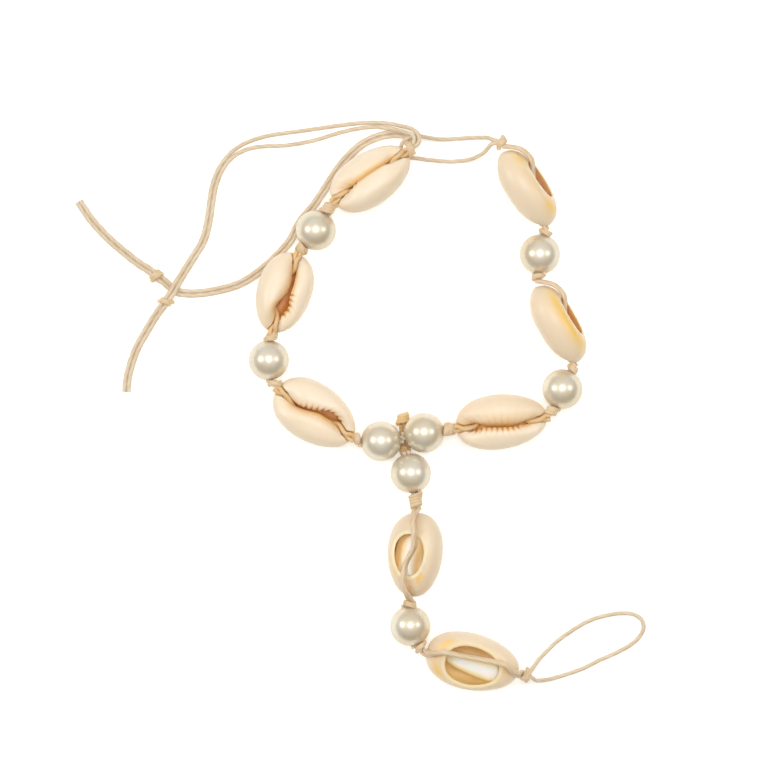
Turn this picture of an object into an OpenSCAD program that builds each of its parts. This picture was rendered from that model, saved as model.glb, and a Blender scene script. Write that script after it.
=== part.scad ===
// Shell anklet with a toe drop: eight cowries and eight round beads knotted on waxed cord.
// It lies on a flat surface at z = 0. X runs to the right, Y towards the ankle's open end.
// Lengths are millimetres and angles are degrees.

/* [Cord] */
// Thickness of one strand of waxed cord
cord_d = 1; // [0.8:0.1:1.2]
// Distance between the middles of two strands that lie side by side
strand_pitch = 1.1; // [1.05:0.05:1.3]
// Sides of a strand's round section
cord_sides = 8; // [8:2:12]

/* [Beads] */
// Diameter of a bead
bead_d = 10; // [9.6:0.1:10]
// Diameter of the hole drilled through a bead
bead_bore = 2.6; // [2.4:0.1:3]
// How far the strands show between a bead and its knot
bead_seat = 0.2; // [0.1:0.05:0.4]

/* [Shells] */
// Height of a cowrie from the ground rim on its back to the middle of its base
shell_h = 8.6; // [7.5:0.1:9]
// Height of the widest line of a cowrie above its ground rim
shell_waist = 4; // [3.5:0.1:4.2]
// Height of the widest line at the two tips
tip_waist = 4.4; // [4.2:0.1:4.6]
// Height of the base at the two tips
tip_top = 6.1; // [6:0.1:6.4]
// Depth of the notch at each tip through which the strands pass
notch = 1.2; // [0.8:0.1:1.3]
// Thickness of a shell's wall
wall = 1.1; // [0.9:0.1:1.3]
// Thickness of the ground rim
rim_wall = 0.75; // [0.6:0.05:1.2]
// Thickness of the base beside the slit
lip = 1.6; // [1.2:0.1:1.8]
// Half of the slit's width in the middle of a shell
slit_half = 0.8; // [0.6:0.05:1]
// Half of the slit's width where it flares out near the tips
slit_flare = 1.9; // [1.8:0.05:2]
// How far each tooth stands into the slit
tooth = 0.35; // [0.1:0.05:0.4]
// Half of the slit's length, as a share of half the shell's length
slit_reach = 0.8; // [0.75:0.01:0.84]

/* [Hidden] */
// Number of sections round a shell, two of them on the long axis
SECTIONS = 40;
HALF = SECTIONS / 2;
// Shells: name, middle x, middle y, heading of the long axis, roll about it, length, width,
// slit bow, slit swing, ground rim's share of the length, and of the width, how far the strands
// run aside under the slit, how far they dip into the ground hole, whether they leave through
// the slit at the back and at the front tip, whether they turn to lie one above the other, and how
// far aside they cross the ground hole in its back and in its front half
SHELLS = [
    ["shell_1", -11.4, 59.1,   34, -14, 22.0, 13.2,  0.2,  0.0, 0.62, 0.70, -1.9, 0.0, true, true, 1, 0, 0],
    ["shell_2", -33.0, 30.4, -108, -14, 20.4, 13.6,  0.6,  0.3, 0.62, 0.70, -1.9, 0.0, true, true, 1, 0, 0],
    ["shell_3", -25.4,  0.3,  -33,   0, 22.2, 14.6,  0.7, -1.1, 0.62, 0.70, -1.9, 0.0, true, true, 1, 0, 0],
    ["shell_4",  21.2, -1.8,    7,  16, 22.8, 13.8, -0.5,  0.3, 0.62, 0.70,  1.9, 0.0, true, true, 1, 0, 0],
    ["shell_5",  35.0, 22.5,  -60, 105, 21.5, 13.0,  0.4,  0.0, 0.54, 0.64,  0.0, 1.6, false, true, 0, 0, 0],
    ["shell_6",  27.3, 56.3,  -57, 108, 21.6, 13.4,  0.4,  0.0, 0.54, 0.64,  0.0, 1.6, false, true, 0, 0, 0],
    ["shell_7",  -0.2,-34.9,  -94, 203, 21.0, 14.0,  0.4,  0.0, 0.56, 0.66,  0.0, 0.4, false, false, 1, -1.6, 0.4],
    ["shell_8",  14.0,-61.5,  -13, 192, 23.5, 14.2,  0.4,  0.0, 0.64, 0.79,  0.0, 0.0, false, false, 1, -2.3, -2.7]
];
// How much narrower a shell is at its front end, and how full its outline is (1 is an ellipse)
front_taper = 0.1;
outline_power = 0.88;

// Outside of a shell from the slit's lip to the widest line: share of the way out, share of the
// height from the widest line to the base
BASE_PROFILE = [[0, 0.88], [0.1, 0.99], [0.42, 1], [0.74, 0.84], [0.93, 0.48], [1, 0]];
// From the widest line in to the ground rim: share of the way in, share of the height
FLANK_PROFILE = [[0.16, 0.52], [0.52, 0.18], [1, 0]];
// Inside from the ground rim out to the wall: share of the way out at the tips, the same at the
// sides, share of the height under the base
CAVITY_PROFILE = [[0, 0, 0], [0.17, 0.6, 0.25], [0.36, 0.92, 0.55], [0.66, 0.66, 0.88]];
RING = len(BASE_PROFILE) + len(FLANK_PROFILE) + len(CAVITY_PROFILE) + 2;

// Beads: name, x, y, and the two neighbours that the strands come from and go to. A neighbour is
// a shell's row and side, or a point.
BEADS = [
    ["bead_1", -25.1,  46.0, [0, -1], [1, -1]],
    ["bead_2", -36.8,  13.6, [1, 1], [2, -1]],
    ["bead_3",  -8.8,  -6.6, [2, 1], [1.9, -4.5, 5]],
    ["bead_4",   1.9,  -4.5, [-8.8, -6.6, 5], [3, -1]],
    ["bead_5",  -1.4, -14.6, [-3.0, -8.6, 5], [6, -1]],
    ["bead_6",  36.4,   6.4, [3, 1], [4, 1]],
    ["bead_7",  30.8,  40.0, [4, -1], [5, 1]],
    ["bead_8",  -1.5, -52.7, [6, 1], [7, -1]]
];

// Knots between a bead and a shell: name, bead's row, which of its two neighbours, thickness
LINK_KNOTS = [
    ["knot_1",  0, 0, 3.0],
    ["knot_2",  0, 1, 2.8],
    ["knot_3",  1, 0, 2.8],
    ["knot_4",  1, 1, 2.8],
    ["knot_5",  2, 0, 2.8],
    ["knot_6",  3, 1, 2.8],
    ["knot_7",  5, 0, 2.8],
    ["knot_8",  5, 1, 2.4],
    ["knot_9",  6, 0, 2.8],
    ["knot_10", 6, 1, 2.6],
    ["knot_11", 4, 1, 3.0],
    ["knot_12", 7, 0, 2.8],
    ["knot_13", 7, 1, 2.8]
];
// Knots at a shell's far end: name, shell's row, side, length, thickness
END_KNOTS = [
    ["knot_ties",         0,  1, 1.8, 3.2],
    ["knot_closing_loop", 5, -1, 1.9, 2.8],
    ["knot_toe_loop",     7,  1, 2.0, 3.0]
];
// Knots where the drop hangs on the ankle string: name, one end, other end, thickness
MIDDLE_KNOTS = [
    ["knot_middle_back",  [-3.3, -2.1, 1.6], [-3.3,  0.1, 1.6], 2.8],
    ["knot_middle_front", [-3.2, -8.1, 2.1], [-2.8, -9.6, 2.6], 2.4]
];

// Overhand knots on the ties: name, middle x, y and z, heading, length, thickness.
// Each is a wrap round the two strands, which run on through it.
TIE_KNOTS = [
    ["tie_knot_1", -62.7, 28.3, 1.7, -124, 1.8, 3.2],
    ["tie_knot_2", -65.1, 34.8, 1.7,  141, 2.4, 3.4]
];

// First pair of ties, from its knot to where the two strands lie together
tie_1a_start = [
    [0.4, 67.5, 6.8], [0.7, 68.7, 6.8], [0.3, 70.0, 6.5], [-1.0, 71.2, 5.2],
    [-3.5, 72.1, 3.0], [-6.8, 72.9, 1.3], [-10.1, 73.2, 0.5], [-13.5, 73.1, 0.5],
    [-19.0, 72.5, 0.5], [-24.5, 71.7, 0.5], [-28.0, 71.2, 0.5], [-32.5, 70.6, 0.5],
    [-37.5, 69.8, 0.5], [-42.0, 68.4, 0.5], [-45.3, 66.6, 0.5]
];
tie_1b_start = [
    [-0.6, 68.2, 6.8], [-0.6, 69.0, 6.8], [-1.1, 69.8, 6.4], [-2.3, 70.3, 5.1],
    [-4.3, 71.0, 3.0], [-7.0, 71.7, 1.3], [-10.2, 72.1, 0.5], [-15.5, 71.5, 0.5],
    [-20.0, 70.4, 0.5], [-24.5, 69.0, 0.5], [-29.0, 68.0, 0.5], [-33.5, 67.4, 0.5],
    [-38.5, 67.2, 0.5], [-42.0, 66.6, 0.5], [-45.0, 65.2, 0.5]
];
// The same pair from there to its free end, along the first strand
tie_1_down = [
    [-48.0, 64.0, 0.5], [-50.0, 60.8, 0.5], [-51.3, 57.0, 0.5], [-51.9, 53.5, 0.5],
    [-52.6, 48.7, 0.5], [-53.8, 44.0, 0.5], [-56.4, 39.6, 0.5], [-58.4, 36.4, 0.6],
    [-59.8, 34.0, 1.3], [-60.6, 32.6, 1.7], [-61.4, 31.2, 1.7], [-62.2, 30.0, 1.7],
    [-63.7, 27.8, 1.7], [-64.9, 26.2, 1.4], [-66.6, 23.7, 0.6], [-68.8, 20.0, 0.5],
    [-70.5, 16.9, 0.5], [-71.9, 13.1, 0.5], [-72.9, 9.1, 0.5], [-73.2, 5.7, 0.5]
];
// Second pair of ties, along the middle of its two strands
tie_2_middle = [
    [-0.1, 67.95, 4.9], [-0.7, 68.3, 3.8], [-1.3, 69.0, 2.6], [-2.3, 69.9, 1.6],
    [-4.2, 70.3, 0.8], [-7.0, 70.2, 0.5], [-10.2, 69.4, 0.5], [-13.6, 67.7, 0.5],
    [-16.8, 64.9, 0.5], [-19.3, 62.0, 0.5], [-21.7, 58.4, 0.5], [-23.8, 55.2, 0.5],
    [-26.0, 52.0, 0.5], [-28.6, 49.0, 0.5], [-30.1, 46.5, 0.5], [-31.4, 43.9, 0.5],
    [-33.4, 41.4, 0.5], [-36.6, 38.2, 0.5], [-40.5, 35.0, 0.5], [-44.2, 32.8, 0.5],
    [-48.6, 31.4, 0.5], [-53.6, 30.5, 0.5], [-57.8, 30.4, 0.5], [-60.4, 31.0, 0.5],
    [-61.9, 32.2, 0.8], [-63.2, 33.4, 1.5], [-64.2, 34.1, 1.7], [-66.1, 35.6, 1.7],
    [-67.4, 36.5, 1.3], [-69.2, 37.6, 0.6], [-71.6, 39.4, 0.5], [-76.8, 43.8, 0.5],
    [-81.3, 48.6, 0.5], [-84.6, 53.4, 0.5]
];
// Closing loop: out of its knot, round and back
closing_loop_route = [
    [19.2, 68.4, 6.8], [18.0, 68.95, 6.1], [16.0, 69.2, 4.2], [12.5, 69.2, 2.2],
    [9.0, 69.0, 1.5], [5.5, 68.9, 2.2], [2.2, 69.3, 4.1], [-0.6, 69.6, 5.1],
    [-2.8, 68.6, 4.5], [-3.8, 67.1, 3.2], [-3.4, 65.5, 1.6], [-1.8, 64.5, 0.7],
    [0.4, 64.2, 0.5], [3.4, 63.8, 0.5], [8.4, 63.4, 0.8], [13.2, 63.8, 2.4],
    [16.6, 65.2, 4.8], [17.9, 66.5, 6.2], [18.6, 67.3, 6.7]
];
// Toe loop: out of its knot, round the toe and back
toe_loop_route = [
    [28.8, -63.5, 5.2], [29.6, -62.6, 4.2], [30.4, -61.6, 2.6], [32.2, -59.8, 0.9],
    [35.4, -56.8, 0.5], [39.3, -54.0, 0.5], [43.4, -51.7, 0.5], [47.9, -50.3, 0.5],
    [52.4, -49.8, 0.5], [55.0, -50.3, 0.5], [56.7, -51.8, 0.5], [57.0, -53.4, 0.5],
    [56.3, -55.2, 0.5], [54.2, -57.4, 0.5], [50.4, -59.6, 0.5], [45.9, -61.6, 0.5],
    [41.9, -63.6, 0.5], [37.4, -65.2, 0.6], [33.6, -66.2, 1.8], [30.8, -66.4, 4.0],
    [29.9, -66.3, 5.0], [29.1, -65.75, 5.5]
];
// The drop's strands pass under the ankle string between its two middle knots
drop_link_middle = [
    [-3.3, -2.4, 1.5], [-3.2, -3.8, 1.1], [-3.3, -5.6, 1.0], [-3.3, -6.8, 1.3], [-3.2, -7.7, 1.9]
];

// Moves the middle of the box round all but the ties and the toe loop to the origin
to_middle = [-0.25, -0.6, 0];
// A bead rests on the surface
bead_z = bead_d / 2;
// Gap between the end of a strand and the knot that holds it
end_gap = 0.12;
// How much further from the back two strands run where they lie one above the other
stack_rise = 0.6;
// Play of the two strands inside a knot on the ties
tie_knot_play = 0.2;

// Strands that leave a shell through its slit, along half the shell: share of the way
// from the shell's middle to its tip, height, share of the run aside, and how far the two strands
// have turned from lying side by side to lying one above the other
SLIT_SIDE_HALF = [
    [1.03, 5.6, 0, 0], [0.97, 5.6, 0, 0.1], [0.89, 5.9, 0, 0.55], [0.81, 6.15, 0, 1],
    [0.7, 5.8, 0, 1], [0.57, 4.7, 0.1, 1], [0.3, 3.4, 1, 1]
];
// Strands that leave it over its back and lie in its ground hole, along half the shell: share of
// the way from the hole's rim to the tip, height, share of the dip, turn of the two strands, and
// share of the way aside
BACK_SIDE_HALF = [
    [1.2, 3.2, 0, 0, 0], [0.98, 1.75, 0, 0.2, 0.03], [0.6, -0.05, 0, 0.6, 0.45], [0.03, -0.85, 0, 1, 1],
    [-0.3, -0.65, 0.1, 1, 1], [-0.75, -0.65, 1, 1, 1]
];

SHELL_COLOUR = "#F3DFC0";
BEAD_COLOUR = "#D8CFBC";
CORD_COLOUR = "#E6D2B2";

function mix(a, b, share) = a + (b - a) * share;
function sine_bump(u) = sin(90 * (u + 1));

// Shell outline and slit in plan, for section k of SECTIONS round the shell
function side_of(k) = (k < HALF) ? 1 : -1;
function around(k) = 360 * k / SECTIONS;
function edge(k, half_l, half_w) =
    let (taper = 1 - front_taper * cos(around(k)))
    [
        half_l * cos(around(k)),
        half_w * side_of(k) * pow(abs(sin(around(k))), outline_power) * taper
    ];
function slit_share(k) = (k <= HALF) ? 1 - 2 * k / HALF : 2 * (k - HALF) / HALF - 1;
function slit_middle(u, bow, swing) = bow * sine_bump(u) + swing * sin(180 * (u + 1));
function slit_width(u) = mix(slit_half, slit_flare, pow(abs(u), 3));
function has_tooth(k) = k % 2 == 1 && abs(slit_share(k)) < 0.75;
function slit_edge(k, half_l, bow, swing) =
    let (u = slit_share(k), open = (abs(u) == 1) ? 0 : slit_width(u) - (has_tooth(k) ? tooth : 0))
    [u * slit_reach * half_l, slit_middle(u, bow, swing) + side_of(k) * open];
function in_notch(k) = min(k % HALF, HALF - k % HALF) < 2;
function at(plan, z) = [plan.x, plan.y, z];

// One section of a shell: a ring of points from the slit's lip over the outside to the ground
// rim and back up the inside
function section(k, s) =
    let (
        half_l = s[5] / 2,
        half_w = s[6] / 2,
        across = abs(sin(around(k))),
        tipness = pow(abs(cos(around(k))), 4),
        lip_at = slit_edge(k, half_l, s[7], s[8]),
        edge_at = edge(k, half_l, half_w),
        rim_at = edge(k, half_l * s[9], half_w * s[10]),
        rim_in = edge(k, half_l * s[9] - rim_wall, half_w * s[10] - rim_wall),
        edge_in = edge(k, half_l - wall, half_w - wall),
        waist = mix(shell_waist, tip_waist, tipness),
        top = mix(shell_h, tip_top, tipness) - (in_notch(k) ? notch : 0),
        roof = top - mix(wall, lip, across)
    )
    concat(
        [for (p = BASE_PROFILE) at(mix(lip_at, edge_at, p[0]), mix(waist, top, p[1]))],
        [for (p = FLANK_PROFILE) at(mix(edge_at, rim_at, p[0]), waist * p[1])],
        [for (p = CAVITY_PROFILE) at(mix(rim_in, edge_in, mix(p[0], p[1], across)), roof * p[2])],
        [at(mix(lip_at, mix(rim_in, edge_in, 0.66), 0.3), roof), at(lip_at, roof)]
    );

function shell_points(s) = [for (k = [0:SECTIONS - 1]) each section(k, s)];
function shell_faces() = [
    for (k = [0:SECTIONS - 1]) for (j = [0:RING - 1])
        let (
            a = k * RING + j,
            b = k * RING + (j + 1) % RING,
            c = ((k + 1) % SECTIONS) * RING + j,
            d = ((k + 1) % SECTIONS) * RING + (j + 1) % RING
        )
        each [[a, d, b], [a, c, d]]
];

// The shell's middle height, about which it rolls, and how far it then stands above the surface
roll_axis_z = 4.4;
function rolled_height(p, roll) = p.y * sin(roll) + (p.z - roll_axis_z) * cos(roll);
function axis_height(s) = -min([for (p = shell_points(s)) rolled_height(p, s[4])]);

// Puts a shell's own frame where the shell lies
module laid(s) {
    translate([s[1], s[2], axis_height(s)])
        rotate([0, 0, s[3]])
            rotate([s[4], 0, 0])
                translate([0, 0, -roll_axis_z])
                    children();
}

module shell(s) {
    color(SHELL_COLOUR)
        laid(s)
            polyhedron(points = shell_points(s), faces = shell_faces());
}

// A strand swept along a route: a ring of points square to the route at each of its points
function heading_at(route, i) =
    let (a = route[max(i - 1, 0)], b = route[min(i + 1, len(route) - 1)])
    (b - a) / norm(b - a);
function strand_points(route) = [
    for (i = [0:len(route) - 1])
        let (
            ahead = heading_at(route, i),
            aside = cross([0, 0, 1], ahead) / norm(cross([0, 0, 1], ahead)),
            up = cross(ahead, aside)
        )
        for (j = [0:cord_sides - 1])
            let (turn = 360 * (j + 0.5) / cord_sides, r = cord_d / 2)
            route[i] + r * (cos(turn) * aside + sin(turn) * up)
];
function strand_faces(rings) = concat(
    [
        for (i = [0:rings - 2]) for (j = [0:cord_sides - 1])
            let (
                a = i * cord_sides + j,
                b = i * cord_sides + (j + 1) % cord_sides,
                c = a + cord_sides,
                d = b + cord_sides
            )
            each [[a, d, b], [a, c, d]]
    ],
    [[for (j = [0:cord_sides - 1]) j]],
    [[for (j = [cord_sides - 1:-1:0]) (rings - 1) * cord_sides + j]]
);

module strand(route) {
    polyhedron(points = strand_points(route), faces = strand_faces(len(route)));
}

// A route moved sideways in plan, square to its own heading
function beside(route, shift) = [
    for (i = [0:len(route) - 1])
        let (ahead = heading_at(route, i), aside = [-ahead.y, ahead.x, 0])
        route[i] + shift * aside / norm(aside)
];

module cord(route) {
    color(CORD_COLOUR)
        strand(route);
}

module cord_pair(route) {
    color(CORD_COLOUR)
        for (side = [-1, 1])
            strand(beside(route, side * strand_pitch / 2));
}

// Two strands along a route that also says, at each of its points, how far they have turned round
// each other: 0 is side by side, 1 is one above the other
module turning_pair(route, turns) {
    color(CORD_COLOUR)
        for (side = [-1, 1])
            strand([
                for (i = [0:len(route) - 1])
                    let (
                        ahead = heading_at(route, i),
                        aside = cross([0, 0, 1], ahead) / norm(cross([0, 0, 1], ahead)),
                        up = cross(ahead, aside),
                        shift = side * strand_pitch / 2
                    )
                    route[i] + shift * (cos(90 * turns[i]) * aside + sin(90 * turns[i]) * up)
            ]);
}

// Whole route of a shell's strands in its own frame, from the table of one half
function slit_drift(share, s) =
    (abs(share) < slit_reach) ? slit_middle(share / slit_reach, s[7], s[8]) : 0;
function by_slit(s, side) = (side == 1) ? s[14] : s[13];
function strand_turn(row, s) = row[3] * s[15];
function over_hole(side, s) = (side == 1) ? s[17] : s[16];
function route_point(row, side, s) =
    let (half_l = s[5] / 2)
    by_slit(s, side)
        ? [side * row[0] * half_l, slit_drift(side * row[0], s) + row[2] * s[11], row[1]]
        : [
            side * half_l * mix(s[9], 1, row[0]),
            row[4] * over_hole(side, s),
            row[1] + row[2] * s[12] - strand_turn(row, s) * stack_rise
        ];
function half_route(s, side) =
    [for (row = by_slit(s, side) ? SLIT_SIDE_HALF : BACK_SIDE_HALF) route_point(row, side, s)];
function half_turns(s, side) =
    [for (row = by_slit(s, side) ? SLIT_SIDE_HALF : BACK_SIDE_HALF) strand_turn(row, s)];
function reversed(list) = [for (i = [len(list) - 1:-1:0]) list[i]];
function inner_route(s) = concat(half_route(s, -1), reversed(half_route(s, 1)));
function inner_turns(s) = concat(half_turns(s, -1), reversed(half_turns(s, 1)));

// A point of a shell's own frame, in the anklet's frame
function placed(p, s) =
    let (
        height = p.z - roll_axis_z,
        y = p.y * cos(s[4]) - height * sin(s[4]),
        z = p.y * sin(s[4]) + height * cos(s[4])
    )
    [
        s[1] + p.x * cos(s[3]) - y * sin(s[3]),
        s[2] + p.x * sin(s[3]) + y * cos(s[3]),
        axis_height(s) + z
    ];
// Where a shell's strands come out at its side -1 or 1, and which way they head there
function shell_end(s, side) = placed(half_route(s, side)[0], s);
function shell_way(s, side) =
    let (last = shell_end(s, side) - placed(half_route(s, side)[1], s))
    last / norm(last);
function shell_sideways(s) = placed([0, 1, 0], s) - placed([0, 0, 0], s);
// How far the ends of a pair of strands reach along a line that meets them at an angle
function end_reach(way, sideways, along) =
    strand_pitch / 2 * abs(sideways * along) + cord_d / 2 * norm(cross(way, along));
function neighbour(n) = (len(n) == 3) ? n : shell_end(SHELLS[n[0]], n[1]);
function plan_heading(v) = atan2(v.y, v.x);
function bore_heading(b) = plan_heading(neighbour(b[4]) - neighbour(b[3]));
function bead_middle(b) = [b[1], b[2], bead_z];

module shell_strands(s) {
    laid(s)
        turning_pair(inner_route(s), inner_turns(s));
}

module bead(b) {
    color(BEAD_COLOUR)
        translate(bead_middle(b))
            rotate([0, 90, bore_heading(b)])
                difference() {
                    sphere(d = bead_d, $fn = 96);
                    cylinder(d = bead_bore, h = 2 * bead_d, center = true, $fn = 48);
                }
}

module bead_strands(b) {
    color(CORD_COLOUR)
        translate(bead_middle(b))
            rotate([0, 90, bore_heading(b)])
                for (side = [-1, 1])
                    translate([0, side * strand_pitch / 2, 0])
                        cylinder(d = cord_d, h = bead_d + 2 * bead_seat, center = true, $fn = 24);
}

// A knot is a core with turns of cord round it, side by side
module turns_of_cord(length, thickness, count) {
    turn_d = min(cord_d, length);
    for (i = [0:count - 1])
        translate([0, 0, mix(-0.5, 0.5, (count == 1) ? 0.5 : i / (count - 1)) * (length - turn_d)])
            rotate_extrude($fn = 48)
                translate([(thickness - turn_d) / 2, 0])
                    circle(d = turn_d, $fn = 24);
}

// A knot from one point to another
module knot(from, to, thickness) {
    way = to - from;
    length = norm(way);
    color(CORD_COLOUR)
        translate((from + to) / 2)
            rotate([0, acos(way.z / length), plan_heading(way)])
                union() {
                    cylinder(d = thickness - cord_d, h = length, center = true, $fn = 48);
                    turns_of_cord(length, thickness, max(1, round(length / cord_d)));
                }
}

module link_knot(k) {
    b = BEADS[k[1]];
    n = b[3 + k[2]];
    s = SHELLS[n[0]];
    between = shell_end(s, n[1]) - bead_middle(b);
    along = between / norm(between);
    bore = (2 * k[2] - 1) * [cos(bore_heading(b)), sin(bore_heading(b)), 0];
    at_bead = (bead_d / 2 + bead_seat) * bore * along
        + end_reach(bore, cross([0, 0, 1], bore), along) + end_gap;
    at_shell = end_reach(shell_way(s, n[1]), shell_sideways(s), along) + end_gap;
    knot(bead_middle(b) + at_bead * along, shell_end(s, n[1]) - at_shell * along, k[3]);
}

module end_knot(k) {
    s = SHELLS[k[1]];
    along = k[2] * [cos(s[3]), sin(s[3]), 0];
    reach = end_reach(shell_way(s, k[2]), shell_sideways(s), along) + end_gap;
    knot(shell_end(s, k[2]) + reach * along, shell_end(s, k[2]) + (reach + k[3]) * along, k[4]);
}

module tie_knot(k) {
    bore_d = strand_pitch + cord_d + tie_knot_play;
    color(CORD_COLOUR)
        translate([k[1], k[2], k[3]])
            rotate([0, 90, k[4]])
                difference() {
                    union() {
                        cylinder(d = k[6] - tie_knot_play, h = k[5], center = true, $fn = 48);
                        turns_of_cord(k[5], k[6], 2);
                    }
                    cylinder(d = bore_d, h = 2 * k[5], center = true, $fn = 48);
                }
}

translate(to_middle) {
for (s = SHELLS)
    shell(s);
for (s = SHELLS)
    shell_strands(s);
for (b = BEADS)
    bead(b);
for (b = BEADS)
    bead_strands(b);
for (k = LINK_KNOTS)
    link_knot(k);
for (k = END_KNOTS)
    end_knot(k);
for (k = MIDDLE_KNOTS)
    knot(k[1], k[2], k[3]);
for (k = TIE_KNOTS)
    tie_knot(k);
cord(concat(tie_1a_start, tie_1_down));  // tie_1a
cord(concat(tie_1b_start, beside(tie_1_down, strand_pitch)));  // tie_1b
cord(beside(tie_2_middle, strand_pitch / 2));  // tie_2a
cord(beside(tie_2_middle, -strand_pitch / 2));  // tie_2b
cord(closing_loop_route);  // closing_loop
cord(toe_loop_route);  // toe_loop
cord_pair(drop_link_middle);  // drop_link
}
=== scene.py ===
# %% [markdown]
# A barefoot anklet: cowries and pearl beads on waxed cord
#
# The real thing is knotted by hand. Two strands of one-millimetre waxed cord run through eight money
# cowries, whose backs are ground off so that they can be strung, and through eight drilled beads. A
# drop hangs from the front of the ring and ends in a loop for the toe. This lesson dresses the packed
# model of it in the model's own frame, so nothing is placed by eye: every table below repeats a size
# of the model, in millimetres.

# %% Load the frame
import math

import bpy
import numpy as np
from mathutils import Matrix, Vector


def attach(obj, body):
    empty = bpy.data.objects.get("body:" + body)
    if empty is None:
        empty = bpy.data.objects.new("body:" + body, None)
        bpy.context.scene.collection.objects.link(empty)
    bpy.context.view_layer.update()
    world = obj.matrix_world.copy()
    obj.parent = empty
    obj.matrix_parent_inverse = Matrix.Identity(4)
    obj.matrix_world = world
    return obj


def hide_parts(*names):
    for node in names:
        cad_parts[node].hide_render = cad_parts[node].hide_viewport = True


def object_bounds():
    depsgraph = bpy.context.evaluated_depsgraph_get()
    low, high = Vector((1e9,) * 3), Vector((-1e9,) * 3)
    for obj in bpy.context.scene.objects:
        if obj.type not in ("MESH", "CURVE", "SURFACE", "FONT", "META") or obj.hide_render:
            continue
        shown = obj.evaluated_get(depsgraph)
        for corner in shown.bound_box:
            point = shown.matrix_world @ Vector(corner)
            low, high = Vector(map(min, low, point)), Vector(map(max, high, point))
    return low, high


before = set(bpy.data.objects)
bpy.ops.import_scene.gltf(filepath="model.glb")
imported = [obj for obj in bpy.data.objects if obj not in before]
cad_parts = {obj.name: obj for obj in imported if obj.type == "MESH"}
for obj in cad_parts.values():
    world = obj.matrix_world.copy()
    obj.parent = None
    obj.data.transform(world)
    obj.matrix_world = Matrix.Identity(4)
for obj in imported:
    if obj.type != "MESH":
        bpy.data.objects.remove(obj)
cad_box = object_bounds()
scene = bpy.context.scene
MM = 0.001
box_sides = [round(side / MM, 1) for side in cad_box[1] - cad_box[0]]
print("frame:", len(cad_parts), "nodes, box", box_sides, "mm")

# %% [markdown]
# The camera looks straight down, as one does at a thing laid out on a table. It stands almost a metre
# up with a long lens, because a short one would make the outer shells lean outwards. Its picture is as
# wide as the stretch of table that the beads' size gives.

# %% Camera
PICTURE_WIDTH = 192 * MM
PICTURE_MIDDLE = (-8.33 * MM, 7.05 * MM)
CAMERA_HEIGHT = 0.9
SIZES_TRUE_AT = 3 * MM
SENSOR = 36

camera = bpy.data.objects.new("camera", bpy.data.cameras.new("camera"))
camera.data.sensor_width = SENSOR
camera.data.lens = SENSOR * (CAMERA_HEIGHT - SIZES_TRUE_AT) / PICTURE_WIDTH
camera.location = (*PICTURE_MIDDLE, CAMERA_HEIGHT)
scene.collection.objects.link(camera)
scene.camera = camera
print("camera: lens", round(camera.data.lens), "mm")

# %% [markdown]
# Colours are easiest to read as the hex values of a colour picker, but shaders want linear numbers,
# so one function turns the first into the second. Another adds a node with its settings and its links,
# in shader trees and in geometry trees alike.


# %% Helpers for colours and nodes
def linear(hex_colour):
    """The linear RGBA of an sRGB hex colour."""
    parts = [int(hex_colour[i : i + 2], 16) / 255 for i in (1, 3, 5)]
    return (*[p / 12.92 if p <= 0.04045 else ((p + 0.055) / 1.055) ** 2.4 for p in parts], 1.0)


def add_node(tree, kind, inputs=(), **settings):
    """Adds a node; its inputs are values, sockets or nodes, listed in order or by the socket's name."""
    node = tree.nodes.new(kind)
    for name, value in settings.items():
        setattr(node, name, value)
    for key, value in inputs.items() if isinstance(inputs, dict) else enumerate(inputs):
        if isinstance(value, bpy.types.Node):
            value = value.outputs[0]
        if isinstance(value, bpy.types.NodeSocket):
            tree.links.new(value, node.inputs[key])
        elif value is not None:
            node.inputs[key].default_value = value
    return node


print("half grey is", round(linear("#808080")[0], 3), "of white's light")

# %% [markdown]
# Every finish here is built in the same way: coats of colour laid over one another, soft patches that
# say where a coat lies, and a fine grain on top. Where a coat follows the form, the mesh stores its
# share as a number at each point.

# %% Helpers for finishes
# Sockets of a Mix node that mixes colours
FACTOR, FIRST, SECOND, MIXED = 0, 6, 7, 2


def coat_over(tree, colour, coats):
    """A colour under coats of others, each laid on by the share that a socket or a stored number gives."""
    for share, coat in coats:
        if isinstance(share, str):
            share = add_node(tree, "ShaderNodeAttribute", attribute_name=share).outputs["Fac"]
        layers = {FACTOR: share, FIRST: colour, SECOND: coat}
        colour = add_node(tree, "ShaderNodeMix", layers, data_type="RGBA").outputs[MIXED]
    return colour


def patches(tree, width, detail, low, high, most=1.0):
    """A share from 0 to most in soft patches about so wide."""
    place = add_node(tree, "ShaderNodeTexCoord").outputs["Object"]
    noise = add_node(tree, "ShaderNodeTexNoise", {"Vector": place, "Scale": 1 / width, "Detail": detail})
    return add_node(tree, "ShaderNodeMapRange", [noise.outputs["Fac"], low, high, 0.0, most])


def add_grain(tree, shader, width, detail, strength, depth):
    """Gives a shader's surface a fine relief with grains about so wide and so deep."""
    place = add_node(tree, "ShaderNodeTexCoord").outputs["Object"]
    noise = add_node(tree, "ShaderNodeTexNoise", {"Vector": place, "Scale": 1 / width, "Detail": detail})
    relief = {"Strength": strength, "Distance": depth, "Height": noise.outputs["Fac"]}
    tree.links.new(add_node(tree, "ShaderNodeBump", relief).outputs[0], shader.inputs["Normal"])


def new_material(name, **finish):
    """A named material with its shader, whose plain inputs are set by name."""
    material = bpy.data.materials.new(name)
    material.use_nodes = True
    shader = material.node_tree.nodes["Principled BSDF"]
    for label, value in finish.items():
        shader.inputs[label.replace("_", " ")].default_value = value
    return material, material.node_tree, shader


print("a finish is named when it is made")

# %% [markdown]
# Soft studio light without hard shadows: a wide white disc round the lens, which every bead mirrors as
# a round spot, and a smaller soft lamp on either side, which they mirror as two small ones.

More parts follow.
